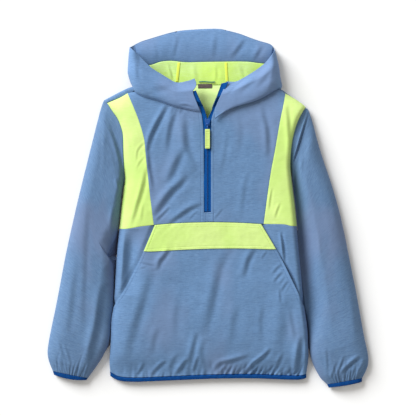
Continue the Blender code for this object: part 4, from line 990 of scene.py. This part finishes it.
def makePull():
    cx, y0, z0 = zipFly["centreX"], zipFly["pinY"], zipFly["pinZ"]
    # the link: a flat wire loop round the pin, with a shank that goes into the grip
    loop = []
    for i in range(25):
        a = 2 * math.pi * (i + .5) / 25
        loop.append((cx, y0 + 1.75 * math.cos(a), z0 + 1.75 * math.sin(a)))
    loop = loop + [loop[0]]
    ring = tube(loop, [.44] * len(loop), 10)
    # the ring's wire is as wide as the eye in the frame
    ring = ([(cx + (v[0] - cx) * 4.6, v[1], v[2]) for v in ring[0]], ring[1])
    shank = tube([(cx, y0 - 1.9, z0), (cx, y0 - 5, z0), (cx, y0 - 10.8, z0 - .1)],
                 [1.5, 1.5, 1.5], 12, .45)
    link = smallPart("pullLink", *together(ring, shank))
    # the moulded grip: rounded, with a sunken panel between two end ridges
    length, half, thick = 39.0, 5.0, 1.5
    v = np.concatenate([[0, .004, .012, .025, .045], np.linspace(.07, .93, 60),
                        [.955, .975, .988, .996, 1]])[:, None]
    a = np.linspace(0, 2 * math.pi, 73)[None, :]
    bulge = (1 - np.abs(2 * v - 1) ** 14) ** (1 / 3)
    power = lambda t: np.sign(t) * np.abs(t) ** 0.32
    x = cx + half * power(np.cos(a)) * (0.82 + 0.18 * bulge) * np.where(bulge > 0, 1, 1)
    z = z0 - 0.2 + thick * power(np.sin(a)) * (0.35 + 0.65 * bulge)
    y = y0 - 9.8 - length * (1 - v) + 0 * a
    inside = (ease((v - .10) / .03) * ease((.90 - v) / .03)
              * ease((3.6 - np.abs(x - cx)) / .8))
    bars = sum(np.exp(-((v - at) / .012) ** 2) for at in (.2, .5, .8))
    z = z - np.sign(np.sin(a)) * 0.45 * inside * (1 - 0.9 * np.clip(bars, 0, 1))
    grip = gridPiece("pullGrip", [x, y, z], [x, y], ring=True, flip=True)
    rows, columns = x.shape
    mesh = grip.data
    first = list(range(columns - 1))
    last = [(rows - 1) * (columns - 1) + i for i in first]
    verts = [tuple(c / mm for c in w.co) for w in mesh.vertices]
    faces = [list(f.vertices) for f in mesh.polygons] + [first[::-1], last]
    bpy.data.objects.remove(grip)
    bpy.data.meshes.remove(mesh)
    return link, smallPart("pullGrip", verts, faces)


# what repeats: stitches and zip teeth
def repeatTree(name, shape):
    # a shape at even steps along every line of the mesh that comes in, turned the way it runs
    tree = bpy.data.node_groups.new(name, "GeometryNodeTree")
    face = tree.interface
    face.new_socket("Lines", in_out="INPUT", socket_type="NodeSocketGeometry")
    for label, value in shape.items():
        face.new_socket(label, in_out="INPUT", socket_type="NodeSocketFloat").default_value = value
    face.new_socket("Finish", in_out="INPUT", socket_type="NodeSocketMaterial")
    face.new_socket("Pieces", in_out="OUTPUT", socket_type="NodeSocketGeometry")
    add, link = tree.nodes.new, tree.links.new
    given, out = add("NodeGroupInput"), add("NodeGroupOutput")
    curve, spread = add("GeometryNodeMeshToCurve"), add("GeometryNodeResampleCurve")
    spread.mode = "LENGTH"
    ball, place = add("GeometryNodeMeshUVSphere"), add("GeometryNodeInstanceOnPoints")
    ball.inputs["Segments"].default_value, ball.inputs["Rings"].default_value = 8, 5
    ball.inputs["Radius"].default_value = 0.5
    size, tangent = add("ShaderNodeCombineXYZ"), add("GeometryNodeInputTangent")
    turn, real = add("FunctionNodeAlignRotationToVector"), add("GeometryNodeRealizeInstances")
    turn.axis = "Y"
    smooth, finish = add("GeometryNodeSetShadeSmooth"), add("GeometryNodeSetMaterial")
    link(given.outputs["Lines"], curve.inputs["Mesh"])
    link(curve.outputs["Curve"], spread.inputs["Curve"])
    link(given.outputs["Pitch"], spread.inputs["Length"])
    link(spread.outputs["Curve"], place.inputs["Points"])
    link(ball.outputs["Mesh"], place.inputs["Instance"])
    for axis, label in zip("XYZ", ("Width", "Length", "Height")):
        link(given.outputs[label], size.inputs[axis])
    link(size.outputs["Vector"], place.inputs["Scale"])
    link(tangent.outputs["Tangent"], turn.inputs["Vector"])
    link(turn.outputs["Rotation"], place.inputs["Rotation"])
    link(place.outputs["Instances"], real.inputs["Geometry"])
    link(real.outputs["Geometry"], smooth.inputs["Geometry"])
    link(smooth.outputs["Geometry"], finish.inputs["Geometry"])
    link(given.outputs["Finish"], finish.inputs["Material"])
    link(finish.outputs["Geometry"], out.inputs["Pieces"])
    return tree


def repeatAlong(name, lines, tree, finish, **values):
    verts, edges = [], []
    for line in lines:
        edges += [(len(verts) + i, len(verts) + i + 1) for i in range(len(line) - 1)]
        verts += (np.asarray(line) * mm).tolist()
    mesh = bpy.data.meshes.new(name + "Lines")
    mesh.from_pydata(verts, edges, [])
    piece = bpy.data.objects.new(name, mesh)
    bpy.context.scene.collection.objects.link(piece)
    nodes = piece.modifiers.new("repeat", "NODES")
    nodes.node_group = tree
    sockets = {s.name: s.identifier for s in tree.interface.items_tree if s.in_out == "INPUT"}
    for label, value in values.items():
        nodes[sockets[label]] = value * mm
    nodes[sockets["Finish"]] = finish
    bpy.context.view_layer.update()
    whole = bpy.data.meshes.new_from_object(
        piece.evaluated_get(bpy.context.evaluated_depsgraph_get()))
    piece.modifiers.clear()
    piece.data = whole
    whole.name = name
    return piece


# finishes
def yarnGroup():
    # plain weave with slubs: streaks along the weft and the warp, and the cloth's slow clouds
    tree = bpy.data.node_groups.new("plainWeave", "ShaderNodeTree")
    face = tree.interface
    face.new_socket("Vector", in_out="INPUT", socket_type="NodeSocketVector")
    for label in ("Ground", "Light yarn", "Dark yarn", "Second tone"):
        face.new_socket(label, in_out="INPUT", socket_type="NodeSocketColor")
    for label, value in (("Threads", 2400.0), ("Slub", 0.5), ("Cloud", 0.06), ("Matt", 0.8),
                         ("Changing", 0.0)):
        face.new_socket(label, in_out="INPUT", socket_type="NodeSocketFloat").default_value = value
    face.new_socket("Color", in_out="OUTPUT", socket_type="NodeSocketColor")
    face.new_socket("Roughness", in_out="OUTPUT", socket_type="NodeSocketFloat")
    face.new_socket("Height", in_out="OUTPUT", socket_type="NodeSocketFloat")
    add, link = tree.nodes.new, tree.links.new
    given, out = add("NodeGroupInput"), add("NodeGroupOutput")

    def math_(kind, a, b=None):
        node = add("ShaderNodeMath")
        node.operation = kind
        for socket, value in zip(node.inputs, (a, b)):
            if value is None:
                continue
            if isinstance(value, (int, float)):
                socket.default_value = value
            else:
                link(value, socket)
        return node.outputs[0]

    def noise(scale, detail=2.0, seed=0.0):
        shift = add("ShaderNodeMapping")
        shift.inputs["Scale"].default_value = scale
        shift.inputs["Location"].default_value = (seed, seed, 0)
        link(given.outputs["Vector"], shift.inputs["Vector"])
        node = add("ShaderNodeTexNoise")
        node.inputs["Scale"].default_value = 1.0
        node.inputs["Detail"].default_value = detail
        link(shift.outputs["Vector"], node.inputs["Vector"])
        return node.outputs["Fac"]

    def blend(a, b, f):
        node = add("ShaderNodeMix")
        node.data_type = "RGBA"
        link(a, node.inputs["A"]), link(b, node.inputs["B"]), link(f, node.inputs["Factor"])
        return node.outputs["Result"]

    def stretch(value, low, high, top=1.0):
        node = add("ShaderNodeMapRange")
        node.interpolation_type = "SMOOTHSTEP"
        link(value, node.inputs["Value"])
        node.inputs["From Min"].default_value, node.inputs["From Max"].default_value = low, high
        node.inputs["To Max"].default_value = top
        return node.outputs["Result"]

    weft = stretch(noise((110, 1100, 1), 3), 0.48, 0.72)
    weftDark = stretch(noise((90, 900, 1), 3, 7.3), 0.48, 0.74)
    warp = stretch(noise((1300, 110, 1), 2, 3.1), 0.50, 0.75)
    long = stretch(noise((20, 420, 1), 2, 5.7), 0.50, 0.70)
    longLight = stretch(noise((24, 380, 1), 2, 8.2), 0.52, 0.72)
    patches = stretch(noise((9, 5, 1), 2, 4.4), 0.46, 0.68)
    color = blend(given.outputs["Ground"], given.outputs["Light yarn"],
                  math_("MULTIPLY", weft, given.outputs["Slub"]))
    color = blend(color, given.outputs["Dark yarn"],
                  math_("MULTIPLY", weftDark, given.outputs["Slub"]))
    color = blend(color, given.outputs["Light yarn"],
                  math_("MULTIPLY", warp, math_("MULTIPLY", given.outputs["Slub"], 0.5)))
    color = blend(color, given.outputs["Dark yarn"],
                  math_("MULTIPLY", long, math_("MULTIPLY", given.outputs["Slub"], 0.36)))
    color = blend(color, given.outputs["Light yarn"],
                  math_("MULTIPLY", longLight, math_("MULTIPLY", given.outputs["Slub"], 0.28)))
    color = blend(color, given.outputs["Second tone"],
                  math_("MULTIPLY", patches, given.outputs["Changing"]))
    cloud = math_("MULTIPLY", math_("SUBTRACT", noise((24, 24, 1), 3, 1.9), 0.5),
                  given.outputs["Cloud"])
    bright = add("ShaderNodeHueSaturation")
    link(math_("ADD", math_("MULTIPLY", cloud, 2.0), 1.0), bright.inputs["Value"])
    link(color, bright.inputs["Color"])
    link(bright.outputs["Color"], out.inputs["Color"])
    apart = add("ShaderNodeSeparateXYZ")
    link(given.outputs["Vector"], apart.inputs["Vector"])
    over = [math_("SINE", math_("MULTIPLY", apart.outputs[axis],
                                math_("MULTIPLY", given.outputs["Threads"], math.pi)))
            for axis in ("X", "Y")]
    weave = math_("MULTIPLY", over[0], over[1])
    link(math_("ADD", math_("MULTIPLY", weave, 0.35), math_("ADD", weft, warp)),
         out.inputs["Height"])
    link(math_("ADD", given.outputs["Matt"], math_("MULTIPLY", weave, 0.04)),
         out.inputs["Roughness"])
    return tree


weaveGroup = yarnGroup()


def clothMaterial(name, ground, light, dark, slub=0.5, cloud=0.06, matt=0.82, threads=2400.0,
                  bump=0.25, sheen=(0.12, (0.8, 0.7, 1.0)), turn=0.0, second=None, gloss=0.25):
    material = bpy.data.materials.new(name)
    material.use_nodes = True
    nodes, link = material.node_tree.nodes, material.node_tree.links.new
    shader = nodes["Principled BSDF"]
    place, mapping = nodes.new("ShaderNodeUVMap"), nodes.new("ShaderNodeMapping")
    place.uv_map = "cloth"
    mapping.inputs["Rotation"].default_value = (0, 0, math.radians(turn))
    weave, relief = nodes.new("ShaderNodeGroup"), nodes.new("ShaderNodeBump")
    weave.node_tree = weaveGroup
    for label, value in (("Ground", ground), ("Light yarn", light), ("Dark yarn", dark)):
        weave.inputs[label].default_value = (*value, 1)
    for label, value in (("Threads", threads), ("Slub", slub), ("Cloud", cloud), ("Matt", matt)):
        weave.inputs[label].default_value = value
    if second:
        weave.inputs["Second tone"].default_value = (*second, 1)
        weave.inputs["Changing"].default_value = 0.5
    relief.inputs["Strength"].default_value = bump
    relief.inputs["Distance"].default_value = 0.0001
    link(place.outputs["UV"], mapping.inputs["Vector"])
    link(mapping.outputs["Vector"], weave.inputs["Vector"])
    link(weave.outputs["Color"], shader.inputs["Base Color"])
    link(weave.outputs["Roughness"], shader.inputs["Roughness"])
    link(weave.outputs["Height"], relief.inputs["Height"])
    link(relief.outputs["Normal"], shader.inputs["Normal"])
    shader.inputs["Sheen Weight"].default_value = sheen[0]
    shader.inputs["Sheen Tint"].default_value = (*sheen[1], 1)
    shader.inputs["Sheen Roughness"].default_value = 0.45
    shader.inputs["Specular IOR Level"].default_value = gloss
    return material


def hardMaterial(name, color, worn, roughness, wear=0.25, scale=900.0, coat=0.0):
    # paint or moulded plastic: fine grain, and rubbed paler where the grain is high
    material = bpy.data.materials.new(name)
    material.use_nodes = True
    nodes, link = material.node_tree.nodes, material.node_tree.links.new
    shader = nodes["Principled BSDF"]
    place, noise = nodes.new("ShaderNodeTexCoord"), nodes.new("ShaderNodeTexNoise")
    noise.inputs["Scale"].default_value, noise.inputs["Detail"].default_value = scale, 4.0
    ramp, blend = nodes.new("ShaderNodeMapRange"), nodes.new("ShaderNodeMix")
    ramp.inputs["From Min"].default_value, ramp.inputs["From Max"].default_value = 0.5, 0.75
    ramp.inputs["To Max"].default_value = wear
    blend.data_type = "RGBA"
    blend.inputs["A"].default_value, blend.inputs["B"].default_value = (*color, 1), (*worn, 1)
    rough, relief = nodes.new("ShaderNodeMapRange"), nodes.new("ShaderNodeBump")
    rough.inputs["To Min"].default_value = roughness - 0.08
    rough.inputs["To Max"].default_value = roughness + 0.12
    relief.inputs["Strength"].default_value, relief.inputs["Distance"].default_value = 0.2, 0.00005
    link(place.outputs["Object"], noise.inputs["Vector"])
    link(noise.outputs["Fac"], ramp.inputs["Value"])
    link(noise.outputs["Fac"], rough.inputs["Value"])
    link(noise.outputs["Fac"], relief.inputs["Height"])
    link(ramp.outputs["Result"], blend.inputs["Factor"])
    link(blend.outputs["Result"], shader.inputs["Base Color"])
    link(rough.outputs["Result"], shader.inputs["Roughness"])
    link(relief.outputs["Normal"], shader.inputs["Normal"])
    shader.inputs["Coat Weight"].default_value = coat
    return material


finishes = {
    "blueCloth": clothMaterial("heatherBlue", (0.116, 0.222, 0.400), (0.175, 0.300, 0.490),
                               (0.070, 0.130, 0.250), 0.62, 0.08, second=(0.165, 0.225, 0.375)),
    # painted shade: the sleeves wear the body's heather blue painted about a tenth darker, a shaded
    # copy of the same cloth
    "shadedSleeveCloth": clothMaterial("heatherBlueSleeveShaded", (0.106, 0.198, 0.355),
                                 (0.165, 0.275, 0.430), (0.062, 0.114, 0.220), 0.70, 0.10,
                                 second=(0.160, 0.198, 0.325)),
    # painted light: the hood wears the body's heather blue painted about a seventh lighter, a lit
    # copy of the same cloth
    "litHoodCloth": clothMaterial("heatherBlueHoodLit", (0.134, 0.252, 0.462), (0.200, 0.335, 0.560),
                               (0.080, 0.150, 0.290), 0.62, 0.08, second=(0.190, 0.260, 0.440)),
    # painted light: the back lining seen in the neck opening wears the lining's neon painted
    # lighter, to make up for the shade the hood casts there
    "litNeckCloth": clothMaterial("neckWeaveLit", (0.740, 0.970, 0.360), (0.800, 0.990, 0.460),
                               (0.640, 0.900, 0.260), 0.35, 0.08, 0.8,
                               sheen=(0.05, (0.9, 1, 0.7))),
    "neonCloth": clothMaterial("neonWeave", (0.600, 0.780, 0.255), (0.680, 0.840, 0.340),
                               (0.500, 0.680, 0.150), 0.4, 0.05, 0.78, sheen=(0.1, (0.9, 1, 0.7)),
                               second=(0.480, 0.720, 0.150)),
    "lining": clothMaterial("liningWeave", (0.590, 0.830, 0.280), (0.700, 0.920, 0.480),
                            (0.500, 0.780, 0.090), 0.60, 0.22, 0.8, sheen=(0.05, (0.9, 1, 0.7)),
                            second=(0.600, 0.860, 0.060)),
    "seamTape": clothMaterial("seamTapeWeave", (0.760, 0.860, 0.100), (0.820, 0.900, 0.200),
                              (0.650, 0.760, 0.060), 0.3, 0.04, 0.7, sheen=(0.1, (1, 1, 0.7))),
    "binding": clothMaterial("stretchBinding", (0.003, 0.046, 0.190), (0.010, 0.080, 0.270),
                             (0.001, 0.020, 0.110), 0.8, 0.05, 0.85, 1400.0, 0.8,
                             (0.02, (0.3, 0.6, 1.0)), gloss=0.06),
    "zipTape": clothMaterial("zipTapeWeave", (0.002, 0.066, 0.270), (0.006, 0.100, 0.340),
                             (0.001, 0.040, 0.190), 0.6, 0.05, 0.75, 1800.0, 0.6,
                             (0.0, (0.3, 0.6, 1.0)), gloss=0.06),
    "label": clothMaterial("labelWeave", (0.110, 0.085, 0.080), (0.260, 0.210, 0.200),
                           (0.070, 0.050, 0.050), 0.7, 0.05, 0.7, 2600.0, 0.5,
                           (0.1, (1, 1, 1))),
    "loop": clothMaterial("loopBraid", (0.050, 0.190, 0.160), (0.100, 0.260, 0.220),
                          (0.020, 0.100, 0.090), 0.7, 0.05, 0.75, 1800.0, 0.6,
                          (0.1, (0.7, 1, 0.9))),
    "blueThread": hardMaterial("blueThread", (0.120, 0.225, 0.440), (0.220, 0.330, 0.560), 0.6,
                               0.6, 2500),
    "neonThread": hardMaterial("neonThread", (0.560, 0.720, 0.140), (0.700, 0.850, 0.300), 0.6,
                               0.6, 2500),
    "coil": hardMaterial("zipCoil", (0.001, 0.048, 0.200), (0.008, 0.090, 0.300), 0.5, 0.4,
                         1500, 0.0),
    "slider": hardMaterial("enamel", (0.002, 0.070, 0.300), (0.05, 0.16, 0.42), 0.36, 0.3, 700,
                           0.2),
    "pull": hardMaterial("mouldedPull", (0.560, 0.720, 0.190), (0.640, 0.790, 0.300), 0.45, 0.4,
                         600, 0.1),
}
print("stage: finishes made")

# building, and dressing each piece
cloth = {}
cloth.update(makeFront())
print("stage: front made")
cloth["backPanel"] = makeBack()
for side in ("left", "right"):
    cloth["sleeve" + side.title()] = makeSleeve(side)
cloth["cuffLeft"] = makeCuff("left", ((-311, -327.2), (-241, -341.2)),
                             ((-308.5, -334.5), (-244, -345)), 3.2, 15.5)
cloth["cuffRight"] = makeCuff("right", ((309, -341.2), (239, -353.7)),
                              ((308.5, -348.5), (242, -360)), 1.2, 15.5)
cloth["hemBinding"] = makeHem()
print("stage: back, sleeves and bindings made")
cloth.update(makeHood())
tapes = makeTapes()
cloth["zipTapeLeft"], cloth["zipTapeRight"] = tapes["left"], tapes["right"]
print("stage: hood and zip tapes made")

# piece: finish, slot, the node it stands for, wall, and what it lies on
dressing = {
    "insertLeft": ("neonCloth", "neon_cloth", "insert_left", 0.9, ["backPanel"]),
    "insertRight": ("neonCloth", "neon_cloth", "insert_right", 0.9, ["backPanel"]),
    "chestPanel": ("blueCloth", "blue_cloth", "front_chest", 0.9, ["backPanel", "neckLining"]),
    "frontLower": ("blueCloth", "blue_cloth", "front_lower", 0.9, ["backPanel"]),
    "pocketPanel": ("blueCloth", "blue_cloth", "pocket", 1.1, ["frontLower"]),
    "pocketFlap": ("neonCloth", "neon_cloth", "pocket_flap", 0.8, ["pocketPanel"]),
    "backPanel": ("blueCloth", "blue_cloth", "back_body", 0.9, ["floor"]),
    "sleeveLeft": ("shadedSleeveCloth", "blue_cloth", "sleeve_left", 0.9, ["floor"]),
    "sleeveRight": ("shadedSleeveCloth", "blue_cloth", "sleeve_right", 0.9, ["floor"]),
    "cuffLeft": ("binding", "binding", "cuff_binding_left", 1.4, ["floor"]),
    "cuffRight": ("binding", "binding", "cuff_binding_right", 1.4, ["floor"]),
    "hemBinding": ("binding", "binding", "hem_binding", 1.4, ["floor"]),
    "hoodLeft": ("litHoodCloth", "blue_cloth", "hood_side_left", 0.9, ["floor", "chestPanel"]),
    "hoodRight": ("litHoodCloth", "blue_cloth", "hood_side_right", 0.9, ["floor", "chestPanel"]),
    "hoodCentre": ("litHoodCloth", "blue_cloth", "hood_centre", 0.9, ["floor"]),
    "hoodFacing": ("litHoodCloth", "blue_cloth", "hood_facing", 0.9, ["hoodCentre"]),
    "hoodLining": ("lining", "lining", "hood_lining", 0.7, ["hoodCentre"]),
    "hoodTapeLeft": ("seamTape", "seam_tape", "hood_tape_left", 0.5, ["hoodLining"]),
    "hoodTapeRight": ("seamTape", "seam_tape", "hood_tape_right", 0.5, ["hoodLining"]),
    "neckLining": ("litNeckCloth", "lining", "back_lining", 0.7, ["backPanel"]),
    "neckLabel": ("label", "label", "neck_label", 0.5, ["neckLining"]),
    "hangLoop": ("loop", "loop", "hang_loop", 0, ["hoodLining"]),
    "zipTapeLeft": ("zipTape", "zip_tape", "zip_tape_left", 0.7, ["chestPanel"]),
    "zipTapeRight": ("zipTape", "zip_tape", "zip_tape_right", 0.7, ["chestPanel"]),
}
# dress each sheet of cloth in its finish, hide the node it stands for, and give it its wall
for name, (finish, slot, node, wall, under) in dressing.items():
    piece = cloth[name]
    dress(piece, finishes[finish], slot, "garment", node)
    if wall:
        shell(piece, wall)

dress(makeSlider(), finishes["slider"], "slider", "garment", "zip_slider")
pullLink, pullGrip = makePull()
dress(pullLink, finishes["slider"], "slider", "zip_pull", "pull_link")
dress(pullGrip, finishes["pull"], "pull", "zip_pull", "pull_grip")

# the zip's coil: across the closed part, and along each tape's inner edge above the slider
t = np.linspace(0, 1, 90)
closedY = mix(-7, 164, t)
closedZ = frontHeight(zipFly["centreX"] + 0 * t, closedY, True) - 0.75
coilRuns = [np.stack([zipFly["centreX"] + s * 0.75 + 0 * t, closedY, closedZ], 1)
            for s in (-1, 1)]
for side, inner in (("left", .94), ("right", .94)):
    share = np.linspace(0, .56, 120)
    x, y, z = tapeSurface(side, inner + 0 * share, share)
    coilRuns.append(np.stack([x, y, z + 0.75], 1)[y > 181])
coil = repeatAlong("zipCoil", coilRuns, repeatTree("zipTeeth", {"Pitch": .0015, "Width": .0022,
                   "Length": .001, "Height": .0012}), finishes["coil"],
                   Pitch=1.45, Width=2.0, Length=0.95, Height=1.1)
dress(coil, finishes["coil"], "zip_tape", "garment")
print("stage: zip made", len(coil.data.polygons), "faces of coil")

# the sewing
stitchTree = repeatTree("stitchRun", {"Pitch": .003, "Width": .0005, "Length": .0022,
                                      "Height": .0005})
pocketPlan = patch(hemLine, cut(waistLine, (-106, -34), (106, -32)), pocketLeft[::-1],
                   pocketRight[::-1])


def onPocket(u, v, above):
    x, y = pocketPlan(u, v)
    return x, y, frontHeight(x, y, False, (front["pocketFolds"],)) + above


def pocketWide(v):
    return np.hypot(*(np.subtract(*p) for p in zip(pocketPlan(1.0, v), pocketPlan(0.0, v))))


for end in (0, 1):
    v = np.linspace(.44, .817, 160)
    share = 5.7 / pocketWide(v)
    stitchAlong("blue", onPocket(np.abs(end - share), v, -0.35))
    v = np.linspace(.835, .985, 60)
    share = 5.7 / pocketWide(v)
    stitchAlong("neon", onPocket(np.abs(end - share), v, 1.0))
share = np.linspace(.03, .97, 300)
stitchAlong("neon", onPocket(share, .82 + 3.2 / 300 + 0 * share, 1.1))
stitchAlong("neon", onPocket(share, 1 - 7.5 / 300 + 0 * share, 1.15))
for x0, x1 in ((-14.2, -14.2), (12.2, 12.2)):
    y = np.linspace(-8, 172, 200)
    x = x0 + 0 * y
    stitchAlong("blue", (x, y, frontHeight(x, y, False, (front["smallFolds"],)) - 0.3))
box = [(-6, -10), (10, -10), (10, -26), (-6, -26), (-6, -10)]
for (ax, ay), (bx, by) in zip(box, box[1:]):
    t = np.linspace(0, 1, 12)
    x, y = mix(ax, bx, t), mix(ay, by, t)
    stitchAlong("blue", (x, y, frontHeight(x, y, False, (front["smallFolds"],)) + 0.1))
for kind, slot in (("blue", "blue_cloth"), ("neon", "neon_cloth")):
    sewing = repeatAlong(kind + "Stitches", stitchRuns[kind], stitchTree,
                         finishes[kind + "Thread"], Pitch=2.9, Width=0.5, Length=2.2, Height=0.45)
    dress(sewing, finishes[kind + "Thread"], slot, "garment")
    print("stage: sewing", kind, len(sewing.data.polygons), "faces")

# the table, the light and the camera
studio = {"fill": 0.5, "key": 4.6, "softness": 36.0, "azimuth": 135.0, "height": 28.0,
          "lens": 200.0, "across": 0.832, "plane": 0.018}
floorMesh = bpy.data.meshes.new("floor")
floorMesh.from_pydata([(-4, -4, -.0002), (4, -4, -.0002), (4, 4, -.0002), (-4, 4, -.0002)], [],
                      [(0, 1, 2, 3)])
floor = bpy.data.objects.new("floor", floorMesh)
bpy.context.scene.collection.objects.link(floor)
paper = bpy.data.materials.new("paper")
paper.use_nodes = True
paper.node_tree.nodes["Principled BSDF"].inputs["Base Color"].default_value = (.9, .9, .9, 1)
paper.node_tree.nodes["Principled BSDF"].inputs["Roughness"].default_value = 0.9
floorMesh.materials.append(paper)

world = bpy.data.worlds.new("studio")
bpy.context.scene.world = world
world.use_nodes = True
world.node_tree.nodes["Background"].inputs["Color"].default_value = (1, .97, .92, 1)
world.node_tree.nodes["Background"].inputs["Strength"].default_value = studio["fill"]
bpy.context.scene.view_settings.view_transform = "Standard"
key = bpy.data.lights.new("key", "SUN")
key.energy, key.angle = studio["key"], math.radians(studio["softness"])
key.color = (0.96, 0.98, 1)
keyObject = bpy.data.objects.new("key", key)
keyObject.rotation_euler = (math.radians(90 - studio["height"]), 0,
                            math.radians(studio["azimuth"] - 90 + 180))
bpy.context.scene.collection.objects.link(keyObject)
lens = bpy.data.cameras.new("camera")
lens.lens, lens.sensor_width = studio["lens"], 36
camera = bpy.data.objects.new("camera", lens)
camera.location = (0, 0, studio["plane"] + studio["across"] * studio["lens"] / 36)
lens.clip_end = 50
bpy.context.scene.collection.objects.link(camera)
bpy.context.scene.camera = camera
